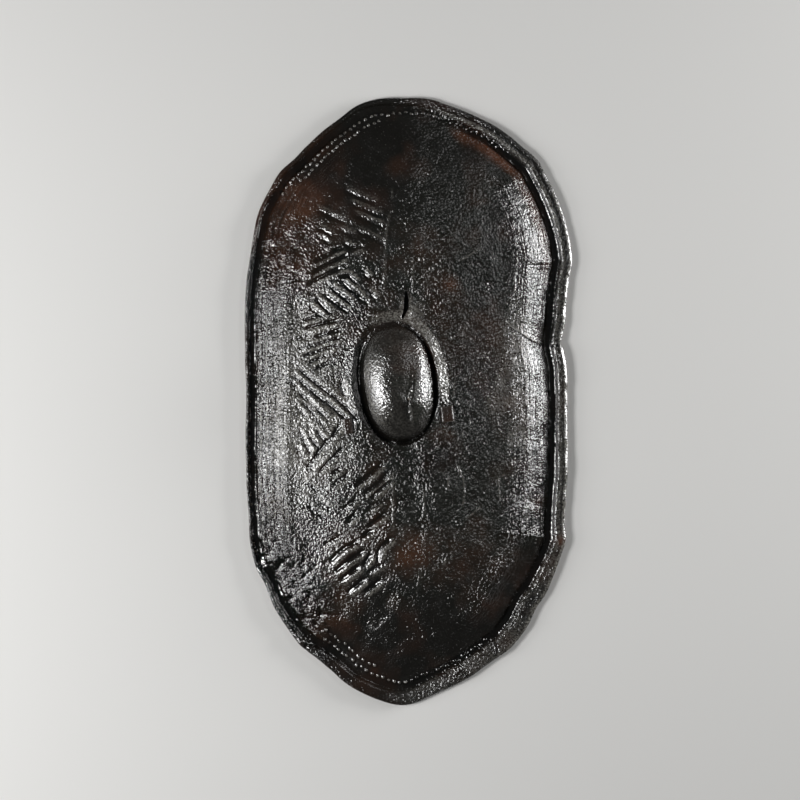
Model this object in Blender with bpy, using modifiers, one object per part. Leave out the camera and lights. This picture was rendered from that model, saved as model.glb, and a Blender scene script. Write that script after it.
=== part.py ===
# Leather shield: one thick hide with a turned-up border, a groove inside it, a domed field and a hollow
# boss for the fist, and the strap that the fist holds. It lies face up, with its front at +Z and its top
# at +Y. Heights are measured from the front of the groove, which is the lowest part of the front.
import math

import bmesh
import bpy
import numpy as np
from mathutils import Matrix, Vector

# The shield as a whole, in metres
LENGTH = 1.0
WIDTH = 0.539
HIDE_THICKNESS = 0.005
FIELD_RISE = 0.044
CROWN_REACH = 0.24

# The border, groove and steep strip, each from its place on the right side on, turning towards the top in
# even steps: distance of the groove from the edge, rise of the border, width and rise of the strip
GROOVE_DISTANCE = (
    0.0255, 0.0265, 0.0290, 0.0275, 0.0205, 0.0165, 0.0150, 0.0135, 0.0125, 0.0120, 0.0190, 0.0280, 0.0310,
    0.0350, 0.0370, 0.0275,
)
BORDER_RISE = (0.0095, 0.0075, 0.0050, 0.0060, 0.0075, 0.0070, 0.0060, 0.0080)
STRIP_WIDTH = (0.0350, 0.0360, 0.0500, 0.0500, 0.0500, 0.0500, 0.0500, 0.0380)
STRIP_RISE = (0.0240, 0.0200, 0.0140, 0.0150, 0.0190, 0.0150, 0.0140, 0.0210)
GROOVE_WIDTH = 0.0125

# The border's crest as a share of the border's width in from the edge, and the edge's height as a share of
# the crest's
CREST_PLACE = 0.4
EDGE_SHARE = 0.8

# The boss, the groove round its foot and the arched collar; the groove and the collar have one size on the
# left and another on the right, and the collar's crest is a share of its width. Places are shares of half
# the width and half the length
BOSS_LENGTH = 0.186
BOSS_WIDTH = 0.113
BOSS_HEIGHT = 0.031
BOSS_FULLNESS = (2.0, 0.92)
BOSS_LEAN = math.radians(7.0)
BOSS_CENTRE = (-0.062, 0.062)
MOAT_WIDTH = (0.0140, 0.0080)
MOAT_DEPTH = (0.0085, 0.0055)
COLLAR_WIDTH = (0.0190, 0.0210)
COLLAR_HEIGHT = (0.0045, 0.0085)
COLLAR_CREST = 0.35
COLLAR_ENDS = (math.radians(-51.0), math.radians(-27.0))

# The grip strap and the two slits that each of its ends passes through
STRAP_WIDTH = 0.026
STRAP_THICKNESS = 0.0025
STRAP_BEND = 0.0014
STRAP_DROP = 0.0605
STRAP_TAIL = 0.014
SLIT_CLEARANCE = 0.0006
FRONT_CLEARANCE = 0.0008
BACK_CLEARANCE = 0.0040
RIGHT_SLIT = 0.064
RIGHT_TAB = 0.018
LEFT_SLIT = 0.082
LEFT_TAB = 0.014

# Tears: the slit above the boss and the notch in the right edge
TEAR_LENGTH = 0.042
TEAR_WIDTH = 0.005
TEAR_PLACE = (-0.018, 0.315)
TEAR_LEAN = math.radians(-7.0)
NOTCH_LENGTH = 0.028
NOTCH_DEPTH = 0.008
NOTCH_PLACE = (0.945, 0.192)

# Rows of raised dots: where each starts and ends, as turns clockwise from the top, and its distance from the
# edge at both
DOT_SIZE = 0.0064
DOT_HEIGHT = 0.0018
DOT_PITCH = 0.0092
DOT_ARCS = ((-0.100, -0.008), (-0.084, -0.014), (-0.004, 0.072), (0.507, 0.572), (0.530, 0.573))
DOT_DISTANCE = ((0.0230, 0.0265), (0.0335, 0.0375), (0.0245, 0.0240), (0.0375, 0.0335), (0.0495, 0.0455))

# Pressed strokes on the left half and raised ridges: depth, height and width of one, and how far its axis
# stands off the surface, as a share of its depth or height
STROKE_DEPTH = 0.0028
STROKE_WIDTH = 0.0115
RIDGE_HEIGHT = 0.0022
RIDGE_WIDTH = 0.0110
SINK = 0.35

# How finely the hide is divided
AROUND = 84
FIELD_RINGS = 4
BOSS_RINGS = (0.95, 0.84, 0.62, 0.32)
CURVE_STEPS = 8
DISTANCE_STEPS = 6

# The outline's points, clockwise from the top, as shares of half the width and half the length
OUTLINE = (
    (-0.050, 1.000), (0.125, 0.997), (0.230, 0.980), (0.340, 0.958), (0.456, 0.929), (0.553, 0.900),
    (0.685, 0.844), (0.791, 0.795), (0.840, 0.745), (0.889, 0.693), (0.956, 0.597), (1.000, 0.463),
    (0.980, 0.400), (0.965, 0.325), (0.956, 0.255), (0.938, 0.200), (0.965, 0.118), (0.970, -0.076),
    (0.974, -0.241), (0.965, -0.297), (0.957, -0.405), (0.962, -0.454), (0.943, -0.491), (0.880, -0.583),
    (0.840, -0.632), (0.783, -0.678), (0.748, -0.717), (0.706, -0.757), (0.614, -0.816), (0.545, -0.842),
    (0.438, -0.882), (0.370, -0.908), (0.157, -0.964), (-0.020, -1.000), (-0.178, -0.984),
    (-0.386, -0.926), (-0.477, -0.882), (-0.556, -0.846), (-0.653, -0.806), (-0.721, -0.760),
    (-0.821, -0.678), (-0.849, -0.642), (-0.885, -0.594), (-0.934, -0.545), (-0.972, -0.458),
    (-0.978, -0.372), (-0.989, -0.297), (-0.996, -0.106), (-0.992, 0.006), (-1.000, 0.154),
    (-0.996, 0.361), (-0.954, 0.532), (-0.919, 0.624), (-0.843, 0.705), (-0.788, 0.755),
    (-0.696, 0.801), (-0.639, 0.834), (-0.526, 0.891), (-0.416, 0.936), (-0.318, 0.975), (-0.191, 0.997),
)

# Groups of parallel strokes: centre as shares of half the width and half the length, lie in degrees from
# +X, number of strokes, distance between them and length of one as shares of the shield's length
PRESSED_GROUPS = (
    ((-0.385, 0.615), -27.0, 5, 0.022, 0.055),
    ((-0.490, 0.440), 28.0, 4, 0.017, 0.060),
    ((-0.410, 0.365), -46.0, 6, 0.0155, 0.042),
    ((-0.525, 0.190), 17.0, 6, 0.015, 0.056),
    ((-0.520, 0.020), -40.0, 4, 0.0155, 0.084),
    ((-0.505, -0.160), 47.0, 4, 0.0145, 0.066),
    ((-0.585, -0.115), -57.0, 2, 0.0155, 0.034),
    ((-0.205, -0.275), 38.0, 3, 0.018, 0.046),
    ((-0.310, -0.510), 36.0, 8, 0.0165, 0.044),
)
RAISED_GROUPS = (
    ((-0.125, 0.640), -86.0, 1, 0.0, 0.090),
    ((-0.142, 0.400), -86.0, 1, 0.0, 0.120),
    ((0.030, 0.415), -88.0, 1, 0.0, 0.090),
    ((-0.092, -0.320), 90.0, 1, 0.0, 0.110),
    ((0.098, -0.350), 90.0, 1, 0.0, 0.100),
    ((-0.125, -0.590), 75.0, 1, 0.0, 0.050),
    ((0.065, -0.590), 78.0, 1, 0.0, 0.050),
    ((0.325, -0.235), -72.0, 1, 0.0, 0.036),
    ((0.335, -0.315), 80.0, 1, 0.0, 0.036),
    ((0.240, -0.262), 86.0, 1, 0.0, 0.026),
    ((0.395, -0.360), 40.0, 1, 0.0, 0.036),
    ((0.220, -0.525), 64.0, 1, 0.0, 0.026),
    ((0.372, 0.482), 34.0, 1, 0.0, 0.038),
)

HALF_WIDTH = WIDTH / 2
HALF_LENGTH = LENGTH / 2


def clear_scene():
    for item in list(bpy.data.objects):
        bpy.data.objects.remove(item, do_unlink=True)


def new_collection(name):
    collection = bpy.data.collections.new(name)
    bpy.context.scene.collection.children.link(collection)
    return collection


def new_material(name, colour, roughness):
    material = bpy.data.materials.new(name)
    material.use_nodes = True
    shader = material.node_tree.nodes["Principled BSDF"]
    shader.inputs["Base Color"].default_value = (*colour, 1.0)
    shader.inputs["Roughness"].default_value = roughness
    shader.inputs["Metallic"].default_value = 0.0
    return material


def ramp(value, start, end):
    # 0 up to start, 1 from end on, straight in between
    return np.clip((value - start) / (end - start), 0.0, 1.0)


def smooth(share):
    return share * share * (3.0 - 2.0 * share)


def at_place(shares):
    # Shares of half the width and half the length become metres
    return shares[0] * HALF_WIDTH, shares[1] * HALF_LENGTH


def smooth_closed_curve(points, steps):
    # Centripetal Catmull-Rom curve: each span bends by its neighbours, weighted by the root of their length
    before = np.roll(points, 1, axis=0)
    after = np.roll(points, -1, axis=0)
    beyond = np.roll(points, -2, axis=0)
    first = np.linalg.norm(points - before, axis=1)[:, None] ** 0.5
    middle = np.linalg.norm(after - points, axis=1)[:, None] ** 0.5
    last = np.linalg.norm(beyond - after, axis=1)[:, None] ** 0.5
    leave = (after - points) + middle * ((points - before) / first - (after - before) / (first + middle))
    reach = (after - points) + middle * ((beyond - after) / last - (beyond - points) / (middle + last))
    t = np.linspace(0.0, 1.0, steps, endpoint=False)[None, :, None]
    curve = (2 * t**3 - 3 * t**2 + 1) * points[:, None] + (t**3 - 2 * t**2 + t) * leave[:, None]
    curve = curve + (3 * t**2 - 2 * t**3) * after[:, None] + (t**3 - t**2) * reach[:, None]
    return curve.reshape(-1, 2)


def even_points(curve, turns):
    # Points of a closed curve at the given turns, where one turn is its whole length
    closed = np.vstack([curve, curve[:1]])
    lengths = np.linalg.norm(np.diff(closed, axis=0), axis=1)
    travelled = np.concatenate([[0.0], np.cumsum(lengths)])
    wanted = np.mod(turns, 1.0) * travelled[-1]
    return np.column_stack([np.interp(wanted, travelled, closed[:, axis]) for axis in (0, 1)])


def outline_curve():
    points = np.array(OUTLINE) * (HALF_WIDTH, HALF_LENGTH)
    curve = smooth_closed_curve(points, CURVE_STEPS)
    return curve - (curve.min(axis=0) + curve.max(axis=0)) / 2


def round_the_shield(values, x, y):
    # Values given at even steps from the right side on, smoothly blended between
    share = np.mod(np.arctan2(y / HALF_LENGTH, x / HALF_WIDTH) / (2 * math.pi), 1.0) * len(values)
    index = np.floor(share).astype(int)
    blend = smooth(share - index)
    ring = np.array(values)
    return ring[index % len(values)] * (1 - blend) + ring[(index + 1) % len(values)] * blend


def distance_to_edge(curve, x, y):
    # Shortest distance from each point to the outline's short straight pieces
    start = curve[None, :, :]
    along = np.roll(curve, -1, axis=0)[None, :, :] - start
    offset = np.column_stack([np.ravel(x), np.ravel(y)])[:, None, :] - start
    share = np.clip((offset * along).sum(axis=2) / (along * along).sum(axis=2), 0.0, 1.0)
    distance = np.linalg.norm(offset - along * share[:, :, None], axis=2).min(axis=1)
    return distance.reshape(np.shape(x))


def boss_axes(x, y):
    # Place along the boss's short and long axes
    cx, cy = at_place(BOSS_CENTRE)
    across = (x - cx) * math.cos(BOSS_LEAN) + (y - cy) * math.sin(BOSS_LEAN)
    along = (y - cy) * math.cos(BOSS_LEAN) - (x - cx) * math.sin(BOSS_LEAN)
    return across, along


def from_boss_axes(across, along):
    cx, cy = at_place(BOSS_CENTRE)
    x = cx + across * math.cos(BOSS_LEAN) - along * math.sin(BOSS_LEAN)
    y = cy + across * math.sin(BOSS_LEAN) + along * math.cos(BOSS_LEAN)
    return x, y


def past_boss(across, along):
    # Distance outside the boss's oval foot, negative inside it
    radius = np.hypot(across / (BOSS_WIDTH / 2), along / (BOSS_LENGTH / 2))
    reach = np.hypot(across, along) / np.maximum(radius, 1e-6)
    return (radius - 1.0) * reach, radius


def left_to_right(pair, across, along):
    # A size round the boss that passes from its left value to its right one
    share = smooth((across / np.maximum(np.hypot(across, along), 1e-6) + 1.0) / 2)
    return pair[0] * (1 - share) + pair[1] * share


def front_height(curve, x, y):
    distance = distance_to_edge(curve, x, y)
    groove = round_the_shield(GROOVE_DISTANCE, x, y)
    border_rise = round_the_shield(BORDER_RISE, x, y)
    strip_width = round_the_shield(STRIP_WIDTH, x, y)
    strip_rise = round_the_shield(STRIP_RISE, x, y)
    strip_foot = groove + GROOVE_WIDTH / 2
    strip_top = strip_foot + strip_width
    place = distance / (groove - GROOVE_WIDTH / 2)
    lip = EDGE_SHARE + (1.0 - EDGE_SHARE) * ramp(place, 0.0, CREST_PLACE)
    height = border_rise * lip * (1.0 - ramp(place, CREST_PLACE, 1.0))
    height = height + strip_rise * ramp(distance, strip_foot, strip_top)
    height = height + (FIELD_RISE - strip_rise) * (1.0 - (1.0 - ramp(distance, strip_top, CROWN_REACH)) ** 2)

    across, along = boss_axes(x, y)
    past, radius = past_boss(across, along)
    inside = np.clip(radius, 0.0, 1.0)
    height = height + BOSS_HEIGHT * (1.0 - inside ** BOSS_FULLNESS[0]) ** BOSS_FULLNESS[1]
    moat_width = left_to_right(MOAT_WIDTH, across, along)
    moat = 1.0 - np.abs(ramp(past, 0.0, moat_width) * 2.0 - 1.0)
    height = height - left_to_right(MOAT_DEPTH, across, along) * moat
    # The collar is an arch, gone under the boss
    arch = smooth(ramp(np.sin(np.arctan2(along, across)), *np.sin(COLLAR_ENDS)))
    share = ramp(past, moat_width, moat_width + left_to_right(COLLAR_WIDTH, across, along))
    crest = ramp(share, 0.0, COLLAR_CREST) * ramp(share, 1.0, COLLAR_CREST)
    return height + left_to_right(COLLAR_HEIGHT, across, along) * arch * smooth(crest)


def boss_ring(turns, past, share):
    # Points round the boss, clockwise from its top: its foot pushed out by a distance, or drawn in by a share
    turn = math.pi / 2 - 2 * math.pi * turns
    across = (BOSS_WIDTH / 2 * share + past) * np.cos(turn)
    along = (BOSS_LENGTH / 2 * share + past) * np.sin(turn)
    return np.column_stack(from_boss_axes(across, along))


def ring_inside_edge(curve, turns, distance):
    # Points at a given distance inside the edge, each on the straight line from the edge to the boss's foot
    edge = even_points(curve, turns)
    towards = boss_ring(turns, 0.0, 1.0) - edge
    towards = towards / np.linalg.norm(towards, axis=1)[:, None]
    reach = np.array(distance)
    for _ in range(DISTANCE_STEPS):
        places = edge + towards * reach[:, None]
        reach = reach + distance - distance_to_edge(curve, places[:, 0], places[:, 1])
    return edge + towards * reach[:, None]


def ring_points(curve):
    # The rings of the hide's front, from the edge to the boss, as one array: ring, place round it, x and y
    turns = np.arange(AROUND) / AROUND
    edge = even_points(curve, turns)
    groove = round_the_shield(GROOVE_DISTANCE, edge[:, 0], edge[:, 1])
    strip_width = round_the_shield(STRIP_WIDTH, edge[:, 0], edge[:, 1])
    border_width = groove - GROOVE_WIDTH / 2
    distances = (
        np.zeros(AROUND),
        border_width * CREST_PLACE,
        border_width,
        groove + GROOVE_WIDTH / 2,
        groove + GROOVE_WIDTH / 2 + strip_width / 2,
        groove + GROOVE_WIDTH / 2 + strip_width,
    )
    rings = [ring_inside_edge(curve, turns, distance) for distance in distances]

    foot_axes = boss_axes(*boss_ring(turns, 0.0, 1.0).T)
    moat_width = left_to_right(MOAT_WIDTH, *foot_axes)
    collar_width = left_to_right(COLLAR_WIDTH, *foot_axes)
    collar_end = moat_width + collar_width
    for index in range(1, FIELD_RINGS + 1):
        share = index / (FIELD_RINGS + 1)
        rings.append(rings[len(distances) - 1] * (1 - share) + boss_ring(turns, collar_end, 1.0) * share)
    collar_crest = moat_width + collar_width * COLLAR_CREST
    for past in (collar_end, collar_crest, moat_width, moat_width / 2, 0.0):
        rings.append(boss_ring(turns, past, 1.0))
    for share in BOSS_RINGS:
        rings.append(boss_ring(turns, 0.0, share))
    return np.array(rings)


def hide_surface(curve):
    # The hide's front as an open sheet of rings, closed at the top of the boss
    rings = ring_points(curve)
    count = len(rings)
    crown = np.array([at_place(BOSS_CENTRE)])
    places = np.vstack([rings.reshape(-1, 2), crown])
    heights = front_height(curve, places[:, 0], places[:, 1])
    points = np.column_stack([places, heights])
    faces = []
    for ring in range(count - 1):
        for place in range(AROUND):
            beside = (place + 1) % AROUND
            faces.append((
                ring * AROUND + place,
                (ring + 1) * AROUND + place,
                (ring + 1) * AROUND + beside,
                ring * AROUND + beside,
            ))
    last = (count - 1) * AROUND
    for place in range(AROUND):
        faces.append((last + (place + 1) % AROUND, last + place, count * AROUND))
    mesh = bpy.data.meshes.new("hide")
    mesh.from_pydata(points.tolist(), [], faces)
    mesh.update()
    return mesh


def spindle(mesh, start, end, width, depth, lift):
    # A slender double pyramid along a stroke, pointed at both ends and widest in the middle, whose axis is
    # lifted off the surface so that its widest edges don't lie in it
    axis = Vector(end) - Vector(start)
    side = axis.cross(Vector((0.0, 0.0, 1.0))).normalized()
    up = side.cross(axis).normalized()
    middle = (Vector(start) + Vector(end)) / 2 + up * lift
    tall = depth + abs(lift)
    place = Matrix((
        (axis.x / 2, side.x * width / 2, up.x * tall, middle.x),
        (axis.y / 2, side.y * width / 2, up.y * tall, middle.y),
        (axis.z / 2, side.z * width / 2, up.z * tall, middle.z),
        (0.0, 0.0, 0.0, 1.0),
    ))
    ends = []
    for top in (1.0, -1.0):
        made = bmesh.ops.create_cone(
            mesh, cap_ends=False, segments=4, radius1=1.0, radius2=0.0, depth=1.0,
            matrix=Matrix.Translation((0.0, 0.0, 0.5)),
        )["verts"]
        turned = Matrix.Rotation(math.pi / 2 * top, 4, "Y")
        bmesh.ops.transform(mesh, matrix=turned, verts=made)
        ends.extend(made)
    bmesh.ops.remove_doubles(mesh, verts=ends, dist=0.0001)
    kept = [vertex for vertex in ends if vertex.is_valid]
    bmesh.ops.transform(mesh, matrix=place, verts=kept)


def add_tool(name, mesh, collection, parent):
    # A guide body that a Boolean adds or cuts away
    bmesh.ops.recalc_face_normals(mesh, faces=mesh.faces[:])
    data = bpy.data.meshes.new(name)
    mesh.to_mesh(data)
    mesh.free()
    tool = bpy.data.objects.new(name, data)
    tool.parent = parent
    tool.hide_render = True
    tool.display_type = "WIRE"
    collection.objects.link(tool)
    return tool


def stroke_tool(curve, groups, width, depth, lift, name, collection, parent):
    mesh = bmesh.new()
    for centre, lie, count, pitch, length in groups:
        cx, cy = at_place(centre)
        along = np.array((math.cos(math.radians(lie)), math.sin(math.radians(lie))))
        across = np.array((-along[1], along[0]))
        for index in range(count):
            middle = np.array((cx, cy)) + across * (index - (count - 1) / 2) * pitch * LENGTH
            ends = np.array((middle - along * length * LENGTH / 2, middle + along * length * LENGTH / 2))
            heights = front_height(curve, ends[:, 0], ends[:, 1])
            start, end = np.column_stack([ends, heights])
            spindle(mesh, start, end, width, depth, lift)
    return add_tool(name, mesh, collection, parent)


def dot_tool(curve, collection, parent):
    # Small raised points in rows along the head and the foot of the shield
    mesh = bmesh.new()
    around = np.linalg.norm(np.roll(curve, -1, axis=0) - curve, axis=1).sum()
    for (first, last), (distance_first, distance_last) in zip(DOT_ARCS, DOT_DISTANCE):
        count = int((last - first) * around / DOT_PITCH)
        turns = np.linspace(first, last, count)
        distance = np.linspace(distance_first, distance_last, count)
        outer = ring_inside_edge(curve, turns, distance - DOT_SIZE / 2)
        inner = ring_inside_edge(curve, turns, distance + DOT_SIZE / 2)
        starts = np.column_stack([outer, front_height(curve, outer[:, 0], outer[:, 1])])
        ends = np.column_stack([inner, front_height(curve, inner[:, 0], inner[:, 1])])
        for start, end in zip(starts, ends):
            spindle(mesh, start, end, DOT_SIZE, DOT_HEIGHT, -DOT_HEIGHT * SINK)
    return add_tool("raised_dots", mesh, collection, parent)


def strap_levels(curve):
    # The strap's middle heights: behind the hide all along, and on the front of the right and left tabs
    half = STRAP_WIDTH / 2 + SLIT_CLEARANCE
    along = np.linspace(-half, half, 7)[:, None] - STRAP_DROP
    left_end = LEFT_SLIT + LEFT_TAB + STRAP_TAIL
    right_end = RIGHT_SLIT + RIGHT_TAB + STRAP_TAIL

    def heights(start, end):
        across = np.linspace(start, end, 41)[None, :]
        x, y = from_boss_axes(across, along)
        return front_height(curve, x, y)

    above = FRONT_CLEARANCE + STRAP_THICKNESS / 2
    below = HIDE_THICKNESS + BACK_CLEARANCE + STRAP_THICKNESS / 2
    behind = heights(-left_end, right_end).min() - below
    right = heights(RIGHT_SLIT, RIGHT_SLIT + RIGHT_TAB).max() + above
    left = heights(-LEFT_SLIT - LEFT_TAB, -LEFT_SLIT).max() + above
    return behind, right, left


def strap_path(curve):
    # The strap seen from its edge: a tail, a stitch over the front, the grip behind the boss, and back
    behind, right, left = strap_levels(curve)
    bend = STRAP_BEND
    corners = (
        (-LEFT_SLIT - LEFT_TAB - STRAP_TAIL, behind, 0),
        (-LEFT_SLIT - LEFT_TAB, behind, 1),
        (-LEFT_SLIT - LEFT_TAB, left, 1),
        (-LEFT_SLIT, left, 1),
        (-LEFT_SLIT, behind, 1),
        (RIGHT_SLIT, behind, 1),
        (RIGHT_SLIT, right, 1),
        (RIGHT_SLIT + RIGHT_TAB, right, 1),
        (RIGHT_SLIT + RIGHT_TAB, behind, 1),
        (RIGHT_SLIT + RIGHT_TAB + STRAP_TAIL, behind, 0),
    )
    path = []
    for index, (across, height, bends) in enumerate(corners):
        here = Vector((across, height))
        if not bends:
            path.append(here)
            continue
        back = (Vector(corners[index - 1][:2]) - here).normalized()
        ahead = (Vector(corners[index + 1][:2]) - here).normalized()
        path.append(here + back * bend)
        path.append(here + ahead * bend)
    return path


def add_strap(curve, collection, parent, material):
    # A ribbon along the path, as an open strip that Solidify makes thick
    low = -STRAP_DROP - STRAP_WIDTH / 2
    high = -STRAP_DROP + STRAP_WIDTH / 2
    mesh = bmesh.new()
    pairs = []
    for point in strap_path(curve):
        pair = []
        for along in (low, high):
            x, y = from_boss_axes(point.x, along)
            pair.append(mesh.verts.new((x, y, point.y)))
        pairs.append(pair)
    for (a, b), (c, d) in zip(pairs[:-1], pairs[1:]):
        mesh.faces.new((a, c, d, b))
    data = bpy.data.meshes.new("grip_strap")
    mesh.to_mesh(data)
    mesh.free()
    data.materials.append(material)
    strap = bpy.data.objects.new("grip_strap", data)
    strap.parent = parent
    collection.objects.link(strap)
    thicken = strap.modifiers.new("thickness", "SOLIDIFY")
    thicken.thickness = STRAP_THICKNESS
    thicken.offset = 0.0
    thicken.use_even_offset = True
    return strap


def slit_tool(curve, collection, parent):
    # Openings right through the hide: four for the strap, and the tear above the boss
    mesh = bmesh.new()
    deep = HIDE_THICKNESS * 8
    slots = (RIGHT_SLIT, RIGHT_SLIT + RIGHT_TAB, -LEFT_SLIT, -LEFT_SLIT - LEFT_TAB)
    for across in slots:
        x, y = from_boss_axes(across, -STRAP_DROP)
        height = float(front_height(curve, np.array([x]), np.array([y]))[0])
        size = (STRAP_THICKNESS + 2 * SLIT_CLEARANCE, STRAP_WIDTH + 2 * SLIT_CLEARANCE, deep)
        place = Matrix.Translation((x, y, height)) @ Matrix.Rotation(BOSS_LEAN, 4, "Z")
        bmesh.ops.create_cube(mesh, size=1.0, matrix=place @ Matrix.Diagonal((*size, 1.0)))
    x, y = at_place(TEAR_PLACE)
    height = float(front_height(curve, np.array([x]), np.array([y]))[0])
    place = Matrix.Translation((x, y, height)) @ Matrix.Rotation(TEAR_LEAN, 4, "Z")
    size = Matrix.Diagonal((TEAR_WIDTH / 2, TEAR_LENGTH / 2, deep, 1.0))
    bmesh.ops.create_cone(
        mesh, cap_ends=True, segments=8, radius1=1.0, radius2=1.0, depth=1.0, matrix=place @ size,
    )
    # The notch is an upright prism let into the right edge
    x, y = at_place(NOTCH_PLACE)
    size = Matrix.Diagonal((NOTCH_DEPTH, NOTCH_LENGTH / 2, deep * 2, 1.0))
    place = Matrix.Translation((x, y, 0.0))
    bmesh.ops.create_cone(
        mesh, cap_ends=True, segments=4, radius1=1.0, radius2=1.0, depth=1.0, matrix=place @ size,
    )
    return add_tool("slits", mesh, collection, parent)


def add_boolean(target, tool, operation):
    modifier = target.modifiers.new(tool.name, "BOOLEAN")
    modifier.operation = operation
    modifier.object = tool


def add_hide(curve, parts, cutters, parent, material):
    data = hide_surface(curve)
    data.materials.append(material)
    hide = bpy.data.objects.new("hide", data)
    hide.parent = parent
    parts.objects.link(hide)
    thicken = hide.modifiers.new("thickness", "SOLIDIFY")
    thicken.thickness = HIDE_THICKNESS
    thicken.offset = -1.0
    thicken.use_even_offset = True
    # Strokes that rise to the right and strokes that fall cross each other, so each kind is cut by itself
    rising = [group for group in PRESSED_GROUPS if group[1] > 0.0]
    falling = [group for group in PRESSED_GROUPS if group[1] < 0.0]
    raised = (RIDGE_WIDTH, RIDGE_HEIGHT, -RIDGE_HEIGHT * SINK)
    pressed = (STROKE_WIDTH, STROKE_DEPTH, STROKE_DEPTH * SINK)
    add_boolean(hide, stroke_tool(curve, RAISED_GROUPS, *raised, "raised_ridges", cutters, parent), "UNION")
    add_boolean(hide, stroke_tool(curve, rising, *pressed, "rising_strokes", cutters, parent), "DIFFERENCE")
    add_boolean(hide, stroke_tool(curve, falling, *pressed, "falling_strokes", cutters, parent), "DIFFERENCE")
    add_boolean(hide, slit_tool(curve, cutters, parent), "DIFFERENCE")
    add_boolean(hide, dot_tool(curve, cutters, parent), "UNION")
    return hide


def stand_on_origin(parent, piece):
    # Moves the whole shield so that its underside's middle is the origin
    bpy.context.view_layer.update()
    solid = piece.evaluated_get(bpy.context.evaluated_depsgraph_get())
    mesh = solid.to_mesh()
    points = np.array([solid.matrix_world @ vertex.co for vertex in mesh.vertices])
    solid.to_mesh_clear()
    low = points.min(axis=0)
    high = points.max(axis=0)
    parent.location = (-(low[0] + high[0]) / 2, -(low[1] + high[1]) / 2, -low[2])


def main():
    clear_scene()
    parts = new_collection("leather_shield")
    cutters = new_collection("cutters")
    leather = new_material("dark_hide", (0.030, 0.022, 0.017), 0.42)
    strap_leather = new_material("strap_leather", (0.045, 0.032, 0.024), 0.55)
    shield = bpy.data.objects.new("shield", None)
    parts.objects.link(shield)
    curve = outline_curve()
    hide = add_hide(curve, parts, cutters, shield, leather)
    add_strap(curve, parts, shield, strap_leather)
    stand_on_origin(shield, hide)
    print("Shield built:", ", ".join(item.name for item in parts.objects if item.type == "MESH"))


main()
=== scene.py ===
import math

import bmesh
import bpy
import numpy as np
from mathutils.geometry import delaunay_2d_cdt
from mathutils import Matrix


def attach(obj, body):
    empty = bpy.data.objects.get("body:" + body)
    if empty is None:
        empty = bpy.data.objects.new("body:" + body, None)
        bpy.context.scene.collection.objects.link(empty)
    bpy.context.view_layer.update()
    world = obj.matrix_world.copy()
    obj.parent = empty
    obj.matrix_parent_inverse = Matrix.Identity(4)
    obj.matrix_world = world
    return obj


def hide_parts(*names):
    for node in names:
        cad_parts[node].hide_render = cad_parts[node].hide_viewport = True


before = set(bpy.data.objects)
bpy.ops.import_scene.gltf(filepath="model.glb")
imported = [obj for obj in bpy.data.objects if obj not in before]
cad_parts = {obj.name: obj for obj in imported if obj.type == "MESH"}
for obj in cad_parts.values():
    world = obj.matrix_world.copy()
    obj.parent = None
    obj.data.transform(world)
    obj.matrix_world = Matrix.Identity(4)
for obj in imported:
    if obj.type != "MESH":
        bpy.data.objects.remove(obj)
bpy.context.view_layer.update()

# The shield lies face up, its top at +Y. Metres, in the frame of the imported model.
shield = {
    "halfWidth": 0.2695,
    "halfLength": 0.5,
    "middle": (0.0003, 0.0, 0.0050),  # where the outline's middle and the front of the groove stand
    "thickness": 0.005,
    "fieldRise": 0.044,
    "crownReach": 0.24,
    "crownBlur": 0.030,
    "grooveWidth": 0.0125,
    "edgeShare": 0.8,  # height of the edge, as a share of the crest's
    "edgeInset": 0.0012,
    "edgeRipple": 0.0005,
    "edgeRound": 0.62,  # how far the cut edge stands out, as a share of half the thickness
    "lipWidth": 0.0055,
    "lipDrop": 0.0015,
    "wallWidth": 0.0042,
    "wallFoot": 0.0010,
    # values at even steps round the shield, from its right side on, turning towards the top
    "grooveDistance": (
        0.0255, 0.0265, 0.0290, 0.0275, 0.0205, 0.0165, 0.0150, 0.0135, 0.0125, 0.0120, 0.0190, 0.0280,
        0.0310, 0.0350, 0.0370, 0.0275,
    ),
    "borderRise": (0.0095, 0.0075, 0.0050, 0.0060, 0.0075, 0.0070, 0.0060, 0.0080),
    "stripWidth": (0.0350, 0.0360, 0.0500, 0.0500, 0.0500, 0.0500, 0.0500, 0.0380),
    "stripRise": (0.0240, 0.0200, 0.0140, 0.0150, 0.0190, 0.0150, 0.0140, 0.0210),
    # outline, clockwise from the top, as shares of half the width and half the length
    "outline": (
        (-0.050, 1.000), (0.125, 0.997), (0.230, 0.980), (0.340, 0.958), (0.456, 0.929), (0.553, 0.900),
        (0.685, 0.844), (0.791, 0.795), (0.840, 0.745), (0.889, 0.693), (0.956, 0.597), (1.000, 0.463),
        (0.980, 0.400), (0.965, 0.325), (0.956, 0.255), (0.938, 0.200), (0.965, 0.118), (0.970, -0.076),
        (0.974, -0.241), (0.965, -0.297), (0.957, -0.405), (0.962, -0.454), (0.943, -0.491), (0.880, -0.583),
        (0.840, -0.632), (0.783, -0.678), (0.748, -0.717), (0.706, -0.757), (0.614, -0.816), (0.545, -0.842),
        (0.438, -0.882), (0.370, -0.908), (0.157, -0.964), (-0.020, -1.000), (-0.178, -0.984),
        (-0.386, -0.926), (-0.477, -0.882), (-0.556, -0.846), (-0.653, -0.806), (-0.721, -0.760),
        (-0.821, -0.678), (-0.849, -0.642), (-0.885, -0.594), (-0.934, -0.545), (-0.972, -0.458),
        (-0.978, -0.372), (-0.989, -0.297), (-0.996, -0.106), (-0.992, 0.006), (-1.000, 0.154),
        (-0.996, 0.361), (-0.954, 0.532), (-0.919, 0.624), (-0.843, 0.705), (-0.788, 0.755),
        (-0.696, 0.801), (-0.639, 0.834), (-0.526, 0.891), (-0.416, 0.936), (-0.318, 0.975), (-0.191, 0.997),
    ),
}

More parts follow.
